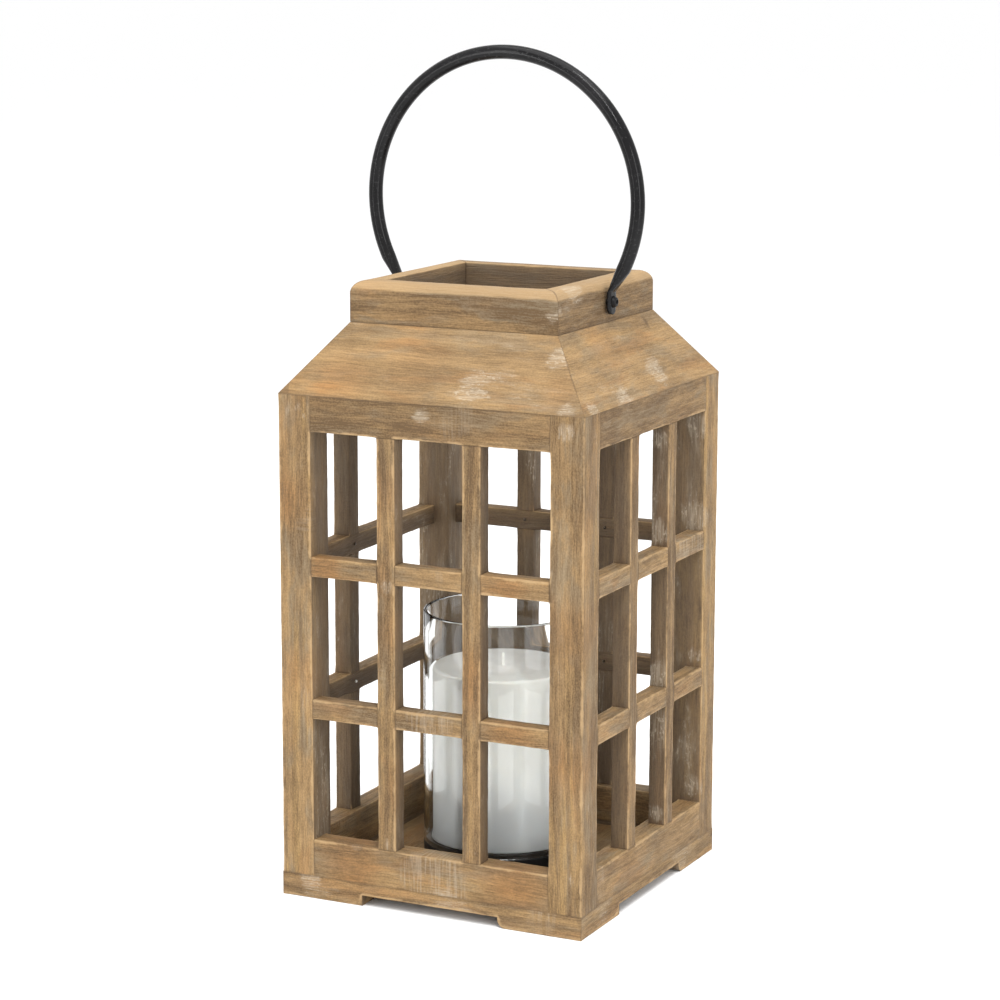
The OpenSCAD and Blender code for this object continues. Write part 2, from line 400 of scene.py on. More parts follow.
def hand_over(piece, body, slot, finish, *nodes):
    """Gives a finished piece its material, and says what it rides on and stands for."""
    piece.data.materials.clear()
    piece.data.materials.append(bpy.data.materials[finish])
    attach(piece, body)
    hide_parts(*nodes)


# ---- Timber ----------------------------------------------------------------------------


def family_of(node):
    """The family that a node belongs to, or None."""
    return next((f for f in FAMILIES if node.startswith(f)), None)


TIMBER = {n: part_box(n) for n in frame["nodes"] if family_of(n)}


def in_contact(points, family):
    """For each point of the front piece, whether another wooden piece touches it."""
    points = np.asarray(points, float).reshape(-1, 3)
    touched = np.zeros(len(points), bool)
    for node, (low, high) in TIMBER.items():
        if family_of(node) != family:
            above = (points > np.array(low) - TOUCH).all(1)
            touched |= above & (points < np.array(high) + TOUCH).all(1)
    if family in MITRED:
        touched |= abs(abs(points[:, 0]) - abs(points[:, 1])) < 2 * TOUCH
    return touched


def places_of(piece):
    """The points of a mesh as an array."""
    places = np.zeros(len(piece.data.vertices) * 3)
    piece.data.vertices.foreach_get("co", places)
    return places.reshape(-1, 3)


def store(piece, name, kind, values):
    """Stores one value for each point of a piece."""
    layer = piece.data.attributes.new(name, kind, "POINT")
    key = "vector" if kind == "FLOAT_VECTOR" else "value"
    layer.data.foreach_set(key, np.asarray(values, np.float32).ravel())


def nearest(points, starts, ends):
    """The distance from each point to the nearest of some straight edges, in millimetres."""
    best = np.full(len(points), 50.0)
    for a, b in zip(starts, ends):
        along = b - a
        share = np.clip((points - a) @ along / (along @ along), 0, 1)
        gap = np.linalg.norm(points - (a + share[:, None] * along), axis=1) / MM
        best = np.minimum(best, gap)
    return best


def sharp_edges(piece, family, limit=20):
    """The sharp edges of a piece, as two lists of ends: the open ones and those in a joint."""
    mesh = bmesh.new()
    mesh.from_mesh(piece.data)
    sharp = [
        e for e in mesh.edges
        if len(e.link_faces) == 2 and e.calc_face_angle(0) > math.radians(limit)
    ]
    ends = np.array([[v.co[:] for v in e.verts] for e in sharp])
    joined = in_contact(ends.mean(1), family)
    indices = [e.index for e in sharp]
    mesh.free()
    return indices, ends, joined


def weather(piece, family, wide=1.0, seam=None, spacing=5 * MM):
    """Rounds a wooden piece's edges unevenly, wears its faces and tells where its edges were."""
    timber = bpy.context.scene.lantern_timber
    seam = timber.seam if seam is None else seam
    indices, ends, joined = sharp_edges(piece, family)
    weights = np.zeros(len(piece.data.edges), np.float32)
    for index, pair, shut in zip(indices, ends, joined):
        place = Vector(pair.mean(0)) / ROUND_PATCH
        uneven = 0.72 + 0.45 * noise.noise(place)
        weights[index] = seam if shut else max(ROUND_LEAST, min(1.0, uneven))
    layer = piece.data.attributes.new("bevel_weight_edge", "FLOAT", "EDGE")
    layer.data.foreach_set("value", weights)
    modifier(
        piece, "BEVEL", width=timber.arris * wide, segments=3, limit_method="WEIGHT",
        use_clamp_overlap=True,
    )
    low, high = places_of(piece).min(0), places_of(piece).max(0)
    with editing(piece):
        for axis, least, most in zip((ALONG_X, ALONG_Y, ALONG_Z), low, high):
            count = int((most - least) / spacing)
            if count > 1 and most - least < 60 * MM:
                step = (most - least) / count
                saw_lines(axis, [least + step * i for i in range(1, count)])
    wear_down(piece, family, ends, joined)
    return ends, joined


def wear_down(piece, family, ends, joined):
    """Hollows the open faces a little and nicks the open edges, but leaves the joints alone."""
    timber = bpy.context.scene.lantern_timber
    points = places_of(piece)
    low, high = points.min(0), points.max(0)
    shut = in_contact(points, family)
    open_ends = ends[~joined]
    arris = nearest(points, open_ends[:, 0], open_ends[:, 1])
    seams = nearest(points, ends[joined][:, 0], ends[joined][:, 1])
    face = np.clip(seams / 3, 0, 1) * ~shut
    edge = np.clip(1 - arris * MM / NICK_REACH, 0, 1) * face
    for name, weights, size, depth in (
        ("open_faces", face, FACE_LUMP, timber.hollow),
        ("open_edges", edge, NICK_LUMP, NICK_DEPTH * timber.hollow),
    ):
        group = piece.vertex_groups.new(name=name)
        for index in np.flatnonzero(weights > 0.01):
            group.add([int(index)], float(weights[index]), "REPLACE")
        clouds = bpy.data.textures.get(name) or bpy.data.textures.new(name, "CLOUDS")
        clouds.noise_scale = size
        clouds.noise_depth = 2
        modifier(
            piece, "DISPLACE", texture=clouds, texture_coords="LOCAL", strength=depth,
            mid_level=1.0, vertex_group=name,
        )
    piece.vertex_groups.clear()
    inside = np.clip(places_of(piece), low, high)
    piece.data.vertices.foreach_set("co", inside.ravel())
    piece.data.update()


def mark_timber(piece, ends, joined, along, across, outward, seed, tone):
    """Stores what the wood finish reads: place in the board, distance to edges, tone, and the recess
    mask for painted shade.
    """
    points = places_of(piece)
    dice = random.Random(seed)
    depth = Vector(along).cross(Vector(across))
    board = np.stack([points @ np.array(v) for v in (along, across, depth)], 1)
    board += [dice.uniform(0, 5) for _ in range(3)]
    store(piece, "board", "FLOAT_VECTOR", board)
    open_ends, shut_ends = ends[~joined], ends[joined]
    store(piece, "arris", "FLOAT", nearest(points, open_ends[:, 0], open_ends[:, 1]))
    store(piece, "seam", "FLOAT", nearest(points, shut_ends[:, 0], shut_ends[:, 1]))
    tone += dice.uniform(-TONE_SPREAD, TONE_SPREAD)
    store(piece, "tone", "FLOAT", np.full(len(points), tone))
    # The recess mask: faces turned away from the open ways, which the finish darkens as painted shade
    facing = np.zeros(len(points) * 3)
    piece.data.vertices.foreach_get("normal", facing)
    facing = facing.reshape(-1, 3)
    open_way = np.max([facing @ np.array(way) for way in outward], 0)
    store(piece, "recess", "FLOAT", np.clip(1 - 1.6 * np.clip(open_way, 0, 1), 0, 1))


def mark_use(piece, node):
    """Stores where a piece, already in its place, is rubbed, warmed, sawn or bruised."""
    points = places_of(piece) / MM
    for kind in MARKS:
        share = np.zeros(len(points))
        for mark, place, reach, strength in USE.get(node, ()):
            if mark == kind:
                gap = np.linalg.norm(points - place, axis=1) / reach
                share = np.maximum(share, strength * np.clip(1.5 - 1.5 * gap, 0, 1))
        store(piece, kind, "FLOAT", share)


def slice_along(piece, axis, stops):
    """Cuts mesh lines along a piece: at each stop, just beside it, and evenly between."""
    timber = bpy.context.scene.lantern_timber
    index = list(axis).index(1)
    low, high = places_of(piece).min(0)[index], places_of(piece).max(0)[index]
    fixed = sorted({round(s + d, 6) for s in stops for d in (-BESIDE, 0, BESIDE)})
    fixed = [low] + [f for f in fixed if low + MM < f < high - MM] + [high]
    lines = fixed[1:-1]
    for a, b in zip(fixed, fixed[1:]):
        parts = int((b - a) / timber.slice)
        lines += [a + (b - a) * i / parts for i in range(1, parts)]
    with editing(piece):
        saw_lines(axis, sorted(lines))


def finish_round(piece, nodes, slot, finish, family, along, across, tones, outward=OUTWARD, **wear):
    """Weathers the front piece, then copies it round the four sides."""
    ends, joined = weather(piece, family, **wear)
    smooth(piece)
    for quarter, node in enumerate(nodes):
        copy = twin(piece, node + "_wood")
        mark_timber(copy, ends, joined, along, across, outward, node, tones[quarter])
        turned(copy, quarter)
        mark_use(copy, node)
        hand_over(copy, "lantern", slot, finish, node)
    bpy.data.objects.remove(piece, do_unlink=True)


def levels_of(*nodes):
    """The heights at which these nodes begin and end."""
    return sorted({round(z, 6) for n in nodes for z in (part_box(n)[0].z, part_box(n)[1].z)})


def widths_of(*nodes):
    """The places along X at which these nodes begin and end."""
    return sorted({round(x, 6) for n in nodes for x in (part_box(n)[0].x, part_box(n)[1].x)})


# ---- Finishes ------------------------------------------------------------------------------


def put(tree, kind, inputs=None, **settings):
    """Adds a node, sets or links its inputs, and gives it back."""
    node = tree.nodes.new("ShaderNode" + kind)
    node.location = (200 * (len(tree.nodes) % 12), -240 * (len(tree.nodes) // 12))
    for name, value in settings.items():
        setattr(node, name, value)
    for key, value in (inputs or {}).items():
        if isinstance(value, bpy.types.NodeSocket):
            tree.links.new(value, node.inputs[key])
        else:
            node.inputs[key].default_value = value
    return node


def sums(tree, operation, a, b=0.0, clamp=False):
    """One sum on two numbers."""
    node = put(tree, "Math", {0: a, 1: b}, operation=operation, use_clamp=clamp)
    return node.outputs[0]


def times(tree, a, b, clamp=False):
    """The product of two numbers."""
    return sums(tree, "MULTIPLY", a, b, clamp)


def plus(tree, a, b, clamp=False):
    """The sum of two numbers."""
    return sums(tree, "ADD", a, b, clamp)


def less(tree, a, b, clamp=False):
    """The difference of two numbers."""
    return sums(tree, "SUBTRACT", a, b, clamp)


def weigh(tree, *shares):
    """Some values added up, each multiplied by its own weight."""
    total = 0.0
    for value, weight in shares:
        total = plus(tree, total, times(tree, value, weight))
    return total


def stretch(tree, place, scale):
    """A place multiplied by a scale along each axis."""
    node = put(tree, "VectorMath", {0: place, 1: scale}, operation="MULTIPLY")
    return node.outputs["Vector"]


def cloud(tree, place, scale=(1, 1, 1), detail=2.0, rough=0.5, warp=0.0):
    """Soft noise of about 0 to 1, whose lumps are 1 / scale metres long."""
    inputs = {"Vector": stretch(tree, place, scale), "Scale": 1.0, "Detail": detail,
              "Roughness": rough, "Distortion": warp}
    return put(tree, "TexNoise", inputs).outputs[0]


def step(tree, value, start, end, low=0.0, high=1.0):
    """A smooth step of a value, from low at start to high at end."""
    inputs = {"Value": value, "From Min": start, "From Max": end, "To Min": low, "To Max": high}
    return put(tree, "MapRange", inputs, interpolation_type="SMOOTHSTEP").outputs["Result"]


def tint(tree, share, first, second, way="MIX"):
    """Two colours mixed by a share."""
    node = put(tree, "Mix", {0: share, 6: first, 7: second}, data_type="RGBA", blend_type=way)
    return node.outputs[2]


def rgba(colour):
    """A colour with full cover."""
    return (*colour, 1.0)


def start_group(name, inputs, outputs):
    """A new node group with named inputs and outputs, and its two end nodes."""
    group = bpy.data.node_groups.new(name, "ShaderNodeTree")
    for label, kind, default in inputs:
        socket = group.interface.new_socket(label, in_out="INPUT", socket_type="NodeSocket" + kind)
        if default is not None:
            socket.default_value = default
    for label, kind in outputs:
        group.interface.new_socket(label, in_out="OUTPUT", socket_type="NodeSocket" + kind)
    return group, group.nodes.new("NodeGroupInput").outputs, group.nodes.new("NodeGroupOutput")


def finish_group(group, end, **results):
    """Links a group's results to its outputs."""
    for name, socket in results.items():
        group.links.new(socket, end.inputs[name])


def use_group(tree, name, inputs):
    """Places a node group in a material and gives back its outputs."""
    node = put(tree, "Group", None, node_tree=bpy.data.node_groups[name])
    for key, value in inputs.items():
        if isinstance(value, bpy.types.NodeSocket):
            tree.links.new(value, node.inputs[key])
        else:
            node.inputs[key].default_value = value
    return node.outputs


def make_grain_group():
    """Growth rings, streaks and fibres of softwood, along the first axis of the board."""
    tree, given, end = start_group(
        "Softwood grain",
        [("Board", "Vector", None), ("Pale", "Color", (1, 1, 1, 1)), ("Dark", "Color", (0, 0, 0, 1)),
         ("Warm", "Color", (0, 0, 0, 1)), ("Warmth", "Float", 0.5), ("Tone", "Float", 0.5),
         ("Grey", "Color", (0, 0, 0, 1)), ("Greyness", "Float", 0.5), ("Warmed", "Float", 0.0),
         ("Gold", "Color", (0, 0, 0, 1)), ("Goldness", "Float", 0.5),
         ("Ring Width", "Float", 4.0), ("Contrast", "Float", 0.5)],
        [("Color", "Color"), ("Height", "Float"), ("Fibre", "Float")],
    )
    board = given["Board"]
    sway = cloud(tree, board, (7, 30, 30), 2.0)
    sway = times(tree, less(tree, sway, 0.5), 0.012)
    apart = put(tree, "SeparateXYZ", {0: board})
    bent = put(tree, "CombineXYZ", {0: apart.outputs[0], 1: plus(tree, apart.outputs[1], sway),
                                    2: apart.outputs[2]}).outputs[0]
    rings_per_metre = sums(tree, "DIVIDE", 1000.0, given["Ring Width"])
    ring_scale = put(tree, "CombineXYZ", {0: 4.0, 1: rings_per_metre, 2: rings_per_metre}).outputs[0]
    ring = step(tree, cloud(tree, bent, ring_scale, 1.0), 0.36, 0.64)
    streak = step(tree, cloud(tree, bent, (36, 900, 900), 3.0, 0.7), 0.34, 0.66)
    fibre = step(tree, cloud(tree, bent, (120, 1700, 1700), 2.0, 0.6), 0.34, 0.66)
    blotch = step(tree, cloud(tree, board, (20, 44, 44), 4.0, 0.65), 0.36, 0.66)
    speck = step(tree, cloud(tree, board, (900, 1300, 1300), 1.0), 0.36, 0.64)
    dark = weigh(tree, (ring, 0.24), (streak, 0.24), (blotch, 0.30), (fibre, 0.22), (speck, 0.22))
    dark = times(tree, less(tree, dark, 0.6), given["Contrast"])
    dark = less(tree, plus(tree, dark, 1.0), given["Tone"], True)
    old = step(tree, cloud(tree, board, (26, 80, 80), 4.0, 0.65, 0.3), 0.44, 0.62)
    soft = tint(tree, times(tree, old, given["Greyness"]), given["Pale"], given["Grey"])
    gold = step(tree, cloud(tree, bent, (5, 150, 150), 3.0, 0.6), 0.5, 0.64)
    soft = tint(tree, times(tree, gold, given["Goldness"]), soft, given["Gold"])
    heart = cloud(tree, board, (17, 70, 70), 3.0, 0.6, 0.4)
    heart = step(tree, heart, 0.5, 0.66, 0.0, given["Warmth"])
    heart = plus(tree, heart, given["Warmed"], True)
    soft = tint(tree, times(tree, heart, 0.85), soft, given["Warm"])
    colour = tint(tree, dark, soft, given["Dark"])
    pores = step(tree, cloud(tree, bent, (90, 1500, 1500), 1.0), 0.64, 0.74)
    colour = tint(tree, times(tree, pores, 0.32), colour, given["Dark"])
    height = weigh(tree, (streak, -0.5), (fibre, -0.35), (ring, 0.25), (pores, -0.5))
    finish_group(tree, end, Color=colour, Height=height, Fibre=fibre)


def make_wash_group():
    """White left in patches and along the grain by limewash that was rubbed off."""
    tree, given, end = start_group(
        "Limewash",
        [("Board", "Vector", None), ("Amount", "Float", 0.3), ("Fibre", "Float", 0.5),
         ("Rubbed", "Float", 0.0)],
        [("Mask", "Float"), ("Chips", "Float")],
    )
    board = given["Board"]
    patch = cloud(tree, board, (16, 60, 60), 4.0, 0.62)
    uneven = less(tree, cloud(tree, board, (60, 190, 190), 5.0, 0.75), 0.5)
    uneven = plus(tree, given["Rubbed"], times(tree, uneven, 2.8))
    rubbed = times(tree, step(tree, uneven, 0.1, 0.9), given["Rubbed"])
    amount = plus(tree, given["Amount"], times(tree, rubbed, 0.75))
    edge = less(tree, 0.76, times(tree, amount, 0.42))
    patch = put(tree, "MapRange", {"Value": patch, "From Min": edge,
                                   "From Max": plus(tree, edge, 0.2)},
                interpolation_type="SMOOTHSTEP").outputs["Result"]
    lines = step(tree, cloud(tree, board, (60, 1200, 1200), 2.0, 0.6), 0.4, 0.6)
    specks = step(tree, cloud(tree, board, (420, 900, 900), 2.0), 0.56, 0.68)
    lines = weigh(tree, (lines, 0.5), (specks, 0.8), (given["Fibre"], 0.12))
    haze = times(tree, rubbed, 0.2)
    long = stretch(tree, board, (0.5, 1.0, 1.0))
    cells = put(tree, "TexVoronoi", {"Vector": long, "Scale": 110.0}, distance="EUCLIDEAN")
    apart = put(tree, "SeparateColor", {0: cells.outputs["Color"]}).outputs
    size = step(tree, apart[0], 0.88, 1.0, 0.0, 0.16)
    ragged = plus(tree, cells.outputs["Distance"], times(tree, lines, 0.14))
    chips = sums(tree, "LESS_THAN", ragged, size)
    mask = plus(tree, times(tree, patch, plus(tree, lines, haze)),
                times(tree, chips, 0.4), True)
    finish_group(tree, end, Mask=mask, Chips=chips)


def make_edge_group():
    """Wear that fades with the distance from an edge and comes and goes along it."""
    tree, given, end = start_group(
        "Edge wear",
        [("Board", "Vector", None), ("Distance", "Float", 50.0), ("Reach", "Float", 1.5),
         ("Breaks", "Float", 0.6)],
        [("Mask", "Float")],
    )
    long = step(tree, cloud(tree, given["Board"], (38, 90, 90), 3.0, 0.6), 0.36, 0.64)
    short = step(tree, cloud(tree, given["Board"], (260, 420, 420), 2.0), 0.35, 0.65)
    mixed = weigh(tree, (long, 0.75), (short, 0.35))
    kept = less(tree, 1.0, times(tree, given["Breaks"],
                                            less(tree, 1.0, mixed)))
    reach = times(tree, given["Reach"], kept)
    near = less(tree, 1.0, sums(tree, "DIVIDE", given["Distance"],
                                            sums(tree, "MAXIMUM", reach, 0.02)), True)
    near = step(tree, near, 0.0, 0.6)
    finish_group(tree, end, Mask=times(tree, near, kept, True))


def make_saw_group():
    """Fine saw marks across the grain, in patches."""
    tree, given, end = start_group(
        "Saw marks",
        [("Board", "Vector", None), ("Pitch", "Float", 1.15), ("Cover", "Float", 0.4)],
        [("Mask", "Float")],
    )
    per_metre = sums(tree, "DIVIDE", 1000.0, given["Pitch"])
    scale = put(tree, "CombineXYZ", {0: per_metre, 1: 40.0, 2: 40.0}).outputs[0]
    lines = step(tree, cloud(tree, given["Board"], scale, 2.0, 0.6), 0.42, 0.6)
    patch = cloud(tree, given["Board"], (20, 30, 30), 2.0)
    edge = less(tree, 0.72, times(tree, given["Cover"], 0.4))
    patch = put(tree, "MapRange", {"Value": patch, "From Min": edge,
                                   "From Max": plus(tree, edge, 0.12)}).outputs["Result"]
    finish_group(tree, end, Mask=times(tree, lines, patch, True))


def make_handling_group():
    """Dust, smears and fine scratches on painted metal."""
    tree, given, end = start_group(
        "Handling marks",
        [("Place", "Vector", None), ("Size", "Float", 12.0)],
        [("Smear", "Float"), ("Scratch", "Float"), ("Dimple", "Float")],
    )
    per_metre = sums(tree, "DIVIDE", 1000.0, given["Size"])
    scale = put(tree, "CombineXYZ", {0: per_metre, 1: per_metre, 2: per_metre}).outputs[0]
    smear = step(tree, cloud(tree, given["Place"], scale, 4.0, 0.6), 0.35, 0.7)
    scratch = step(tree, cloud(tree, given["Place"], (900, 120, 1400), 2.0), 0.62, 0.7)
    dimple = cloud(tree, given["Place"], (700, 700, 700), 2.0)
    finish_group(tree, end, Smear=smear, Scratch=scratch, Dimple=dimple)


def start_material(name):
    """A new material with its node tree and its Principled BSDF."""
    material = bpy.data.materials.new(name)
    material.use_nodes = True
    shader = next(n for n in material.node_tree.nodes if n.type == "BSDF_PRINCIPLED")
    return material.node_tree, shader


def bump(tree, shader, height, distance, strength=1.0):
    """Raises a surface by a height given in metres at its greatest."""
    made = put(tree, "Bump", {"Height": height, "Distance": distance, "Strength": strength})
    tree.links.new(made.outputs["Normal"], shader.inputs["Normal"])


def make_wood(name, rings=4.0, warmth=0.5, contrast=1.2, wash=0.3, rub=0.7, saws=0.3, grey=0.5,
              gold=0.3, inside=0.68, band=None):
    """One wood finish: grain, limewash, rubbed arrises, saw marks, dirt in the seams, painted shade on
    recessed faces and a painted highlight on the collar's top band.
    """
    timber = bpy.context.scene.lantern_timber
    tree, shader = start_material(name)
    board = put(tree, "Attribute", None, attribute_name="board").outputs["Vector"]
    arris, seam, tone, recess, rubbed, warmed, sawn, bruised = (
        put(tree, "Attribute", None, attribute_name=key).outputs["Fac"]
        for key in ("arris", "seam", "tone", "recess", *MARKS))
    grain = use_group(tree, "Softwood grain", {
        "Board": board, "Pale": rgba(timber.pale), "Dark": rgba(timber.dark),
        "Warm": rgba(timber.warm), "Warmth": warmth, "Warmed": warmed, "Ring Width": rings,
        "Contrast": contrast, "Grey": rgba(timber.grey), "Greyness": grey, "Tone": tone,
        "Gold": rgba(timber.gold), "Goldness": gold})
    cover = plus(tree, sawn, saws)
    saw_mask = use_group(tree, "Saw marks", {"Board": board, "Cover": cover})["Mask"]
    amount = plus(tree, wash, times(tree, recess, 0.2))
    limed = use_group(tree, "Limewash", {"Board": board, "Amount": amount, "Rubbed": rubbed,
                                         "Fibre": grain["Fibre"]})
    near_arris = use_group(tree, "Edge wear", {"Board": board, "Distance": arris, "Reach": 2.2,
                                               "Breaks": 0.75})["Mask"]
    near_seam = use_group(tree, "Edge wear", {"Board": board, "Distance": seam, "Reach": 0.9,
                                              "Breaks": 0.6})["Mask"]
    colour = tint(tree, times(tree, saw_mask, 0.24), grain["Color"], rgba(timber.wash))
    outer = less(tree, 1.0, recess)
    # Painted highlight, with some rubbing: the collar's rounded top is made lighter above the band
    # height, where the light from above falls
    if band:
        level = put(tree, "SeparateXYZ", {0: put(tree, "TexCoord").outputs["Object"]}).outputs[2]
        sway = less(tree, cloud(tree, board, (45, 200, 200), 3.0), 0.5)
        level = plus(tree, level, times(tree, sway, 3 * MM))
        bright = step(tree, level, band - 0.3 * MM, band + 1.5 * MM, 0.0,
                      times(tree, outer, 0.56))
        colour = tint(tree, bright, colour, rgba(timber.rub_and_highlight))
    # Painted shade: faces turned away from the open sides are darkened towards the recess shade colour
    colour = tint(tree, times(tree, recess, inside), colour, rgba(timber.painted_recess_shade))
    colour = tint(tree, times(tree, limed["Mask"], 0.5), colour, rgba(timber.wash))
    near_arris = times(tree, near_arris, times(tree, outer, rub))
    colour = tint(tree, near_arris, colour, rgba(timber.rub_and_highlight))
    colour = tint(tree, times(tree, near_seam, 0.4), colour, rgba(timber.dirt))
    colour = tint(tree, bruised, colour, rgba(timber.dirt))
    tree.links.new(colour, shader.inputs["Base Color"])
    rough = plus(tree, 0.62, times(tree, grain["Fibre"], 0.16))
    rough = plus(tree, rough, times(tree, limed["Mask"], 0.12), True)
    tree.links.new(rough, shader.inputs["Roughness"])
    height = plus(tree, grain["Height"], times(tree, saw_mask, 0.45))
    height = less(tree, height, times(tree, limed["Chips"], 1.2))
    bump(tree, shader, height, 0.2 * MM)
    shader.inputs["Specular IOR Level"].default_value = 0.3


def make_paint(name, colour, rough, size):
    """Satin black paint on iron, a little smeared and scratched."""
    tree, shader = start_material(name)
    place = put(tree, "TexCoord").outputs["Object"]
    marks = use_group(tree, "Handling marks", {"Place": place, "Size": size})
    paler = tuple(2.5 * c + 0.003 for c in colour)
    share = times(tree, marks["Smear"], 0.35)
    shade = tint(tree, share, rgba(colour), rgba(paler))
    shade = tint(tree, times(tree, marks["Scratch"], 0.25), shade, (0.10, 0.10, 0.10, 1))
    tree.links.new(shade, shader.inputs["Base Color"])
    gloss = plus(tree, rough - 0.05, times(tree, marks["Smear"], 0.1))
    tree.links.new(gloss, shader.inputs["Roughness"])
    bump(tree, shader, marks["Dimple"], 0.05 * MM)
    shader.inputs["Specular IOR Level"].default_value = 0.13


def make_steel(name, colour, rough, dull=None):
    """Bright or zinc-plated steel with fine drawn lines, dulled where it isn't marked bright."""
    tree, shader = start_material(name)
    place = put(tree, "TexCoord").outputs["Object"]
    marks = use_group(tree, "Handling marks", {"Place": place, "Size": 3.0})
    share = times(tree, marks["Smear"], 0.5)
    shade = tint(tree, share, rgba(colour), rgba([0.6 * c for c in colour]))
    if dull:
        bright = put(tree, "Attribute", None, attribute_name="bright").outputs["Fac"]
        shade = tint(tree, bright, rgba(dull), shade)
    tree.links.new(shade, shader.inputs["Base Color"])
    gloss = plus(tree, rough, times(tree, marks["Smear"], 0.2))
    tree.links.new(gloss, shader.inputs["Roughness"])
    shader.inputs["Metallic"].default_value = 1.0
    bump(tree, shader, marks["Scratch"], 0.02 * MM)


def make_glass(name):
    """Clear drawn glass that lets the lamps' light through to the candle."""
    tree, shader = start_material(name)
    shader.inputs["Base Color"].default_value = (0.975, 0.99, 0.985, 1)
    shader.inputs["Transmission Weight"].default_value = 1.0
    shader.inputs["IOR"].default_value = 1.42
    place = put(tree, "TexCoord").outputs["Object"]
    film = cloud(tree, place, (60, 60, 14), 3.0)
    tree.links.new(step(tree, film, 0.45, 0.75, 0.0, 0.05), shader.inputs["Roughness"])
    bump(tree, shader, cloud(tree, place, (30, 30, 9), 1.0), 0.12 * MM)
    clear = put(tree, "BsdfTransparent", {"Color": (0.95, 0.97, 0.965, 1)})
    lamps = put(tree, "LightPath").outputs["Is Shadow Ray"]
    both = put(tree, "MixShader", {0: lamps, 1: shader.outputs[0], 2: clear.outputs[0]})
    end = next(n for n in tree.nodes if n.type == "OUTPUT_MATERIAL")
    tree.links.new(both.outputs[0], end.inputs["Surface"])


def make_wax(name):
    """Smooth white wax, a little mottled, that lets some light into itself, with painted shade towards
    its foot.
    """
    fittings = bpy.context.scene.lantern_fittings
    tree, shader = start_material(name)
    place = put(tree, "TexCoord").outputs["Object"]
    mottle = step(tree, cloud(tree, place, (90, 90, 60), 4.0, 0.6), 0.35, 0.68)
    shade = tint(tree, mottle, rgba(fittings.wax), rgba([0.93 * c for c in fittings.wax]))
    # Painted shade: the wax is darker towards the candle's foot
    level = put(tree, "SeparateXYZ", {0: place}).outputs[2]
    foot = step(tree, level, 0.03, 0.08, 1.0, 0.0)
    shade = tint(tree, foot, shade, rgba(fittings.wax_foot_shade))
    tree.links.new(shade, shader.inputs["Base Color"])
    tree.links.new(step(tree, mottle, 0.0, 1.0, 0.42, 0.56), shader.inputs["Roughness"])
    shader.inputs["Subsurface Weight"].default_value = 0.35
    shader.inputs["Subsurface Radius"].default_value = (6 * MM, 5 * MM, 4 * MM)
    shader.inputs["Subsurface Scale"].default_value = 1.0
    bump(tree, shader, cloud(tree, place, (260, 260, 120), 2.0), 0.08 * MM)


def make_cotton(name):
    """White braided cotton."""
    tree, shader = start_material(name)
    place = put(tree, "TexCoord").outputs["Object"]
    braid = put(tree, "TexWave", {"Vector": place, "Scale": 420.0, "Distortion": 1.5},
                wave_type="BANDS", bands_direction="DIAGONAL").outputs["Fac"]
    shade = tint(tree, times(tree, braid, 0.5), (0.84, 0.82, 0.77, 1), (0.62, 0.60, 0.55, 1))
    tree.links.new(shade, shader.inputs["Base Color"])
    shader.inputs["Roughness"].default_value = 0.9
    bump(tree, shader, braid, 0.15 * MM)


# How each family of boards looks; inside is the share of painted shade on its recessed faces, and band
# is the height above which the collar gets its painted highlight
WOODS = {
    "Post wood": dict(rings=5.0, contrast=1.15, wash=0.4, saws=0.0, warmth=0.4,
                      grey=0.7, gold=0.7),
    "Rail wood": dict(rings=5.0, contrast=1.05, wash=0.3, saws=0.25, warmth=0.5, grey=0.7,
                      gold=0.2, inside=0.0),
    "Bar wood": dict(rings=3.5, contrast=1.15, wash=0.34, saws=0.25, warmth=0.6,
                     grey=0.7, gold=0.3),
    "Roof wood": dict(rings=6.0, contrast=0.85, wash=0.48, saws=0.0, warmth=0.6,
                      grey=0.5, gold=0.2),
    "Collar wood": dict(rings=3.0, contrast=1.0, wash=0.24, saws=0.0, warmth=0.2, rub=0.6, grey=1.0,
                        gold=0.0, band=COLLAR_BAND),
    "Base wood": dict(rings=4.0, wash=0.46, saws=0.15, warmth=0.5, rub=0.8, grey=0.5),
    "Floor wood": dict(rings=7.0, wash=0.02, saws=0.2, warmth=0.7, rub=0.3, grey=0.0, inside=0.2),
}


class LANTERN_OT_finishes(bpy.types.Operator):
    """Make the wood, iron, steel, glass, wax and cotton finishes"""

    bl_idname = "lantern.finishes"
    bl_label = "Finishes"

    def execute(self, context):
        for make_group in (make_grain_group, make_wash_group, make_edge_group, make_saw_group,
                           make_handling_group):
            make_group()
        for name, look in WOODS.items():
            make_wood(name, **look)
        fittings = context.scene.lantern_fittings
        make_paint("Bail paint", fittings.iron, 0.14, 30.0)
        make_paint("Screw paint", fittings.iron, 0.4, 4.0)
        make_paint("Plate paint", (0.008, 0.008, 0.008), 0.42, 12.0)
        make_steel("Pin steel", (0.80, 0.78, 0.75), 0.25, dull=(0.10, 0.08, 0.06))
        make_steel("Screw steel", (0.66, 0.66, 0.67), 0.32)
        make_glass("Clear glass")
        make_wax("Candle wax")
        make_cotton("Wick cotton")
        return {"FINISHED"}


# ---- The wooden pieces ------------------------------------------------------------------------


class LANTERN_OT_posts(bpy.types.Operator):
    """Make the four solid corner posts"""

    bl_idname = "lantern.posts"
    bl_label = "Corner posts"

    def execute(self, context):
        post = add_blank("post_blank", *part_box("post_front_right"))
        stops = levels_of("bottom_rail_front", "top_rail_front",
                          "cross_bar_front_lower", "cross_bar_front_upper")
        slice_along(post, ALONG_Z, stops)
        finish_round(post, ["post_" + c for c in CORNERS], "post_wood", "Post wood", "post",
                     ALONG_Z, ALONG_X, (0.50, 0.48, 0.50, 0.52), outward=((0, -1, 0), (1, 0, 0)))
        return {"FINISHED"}


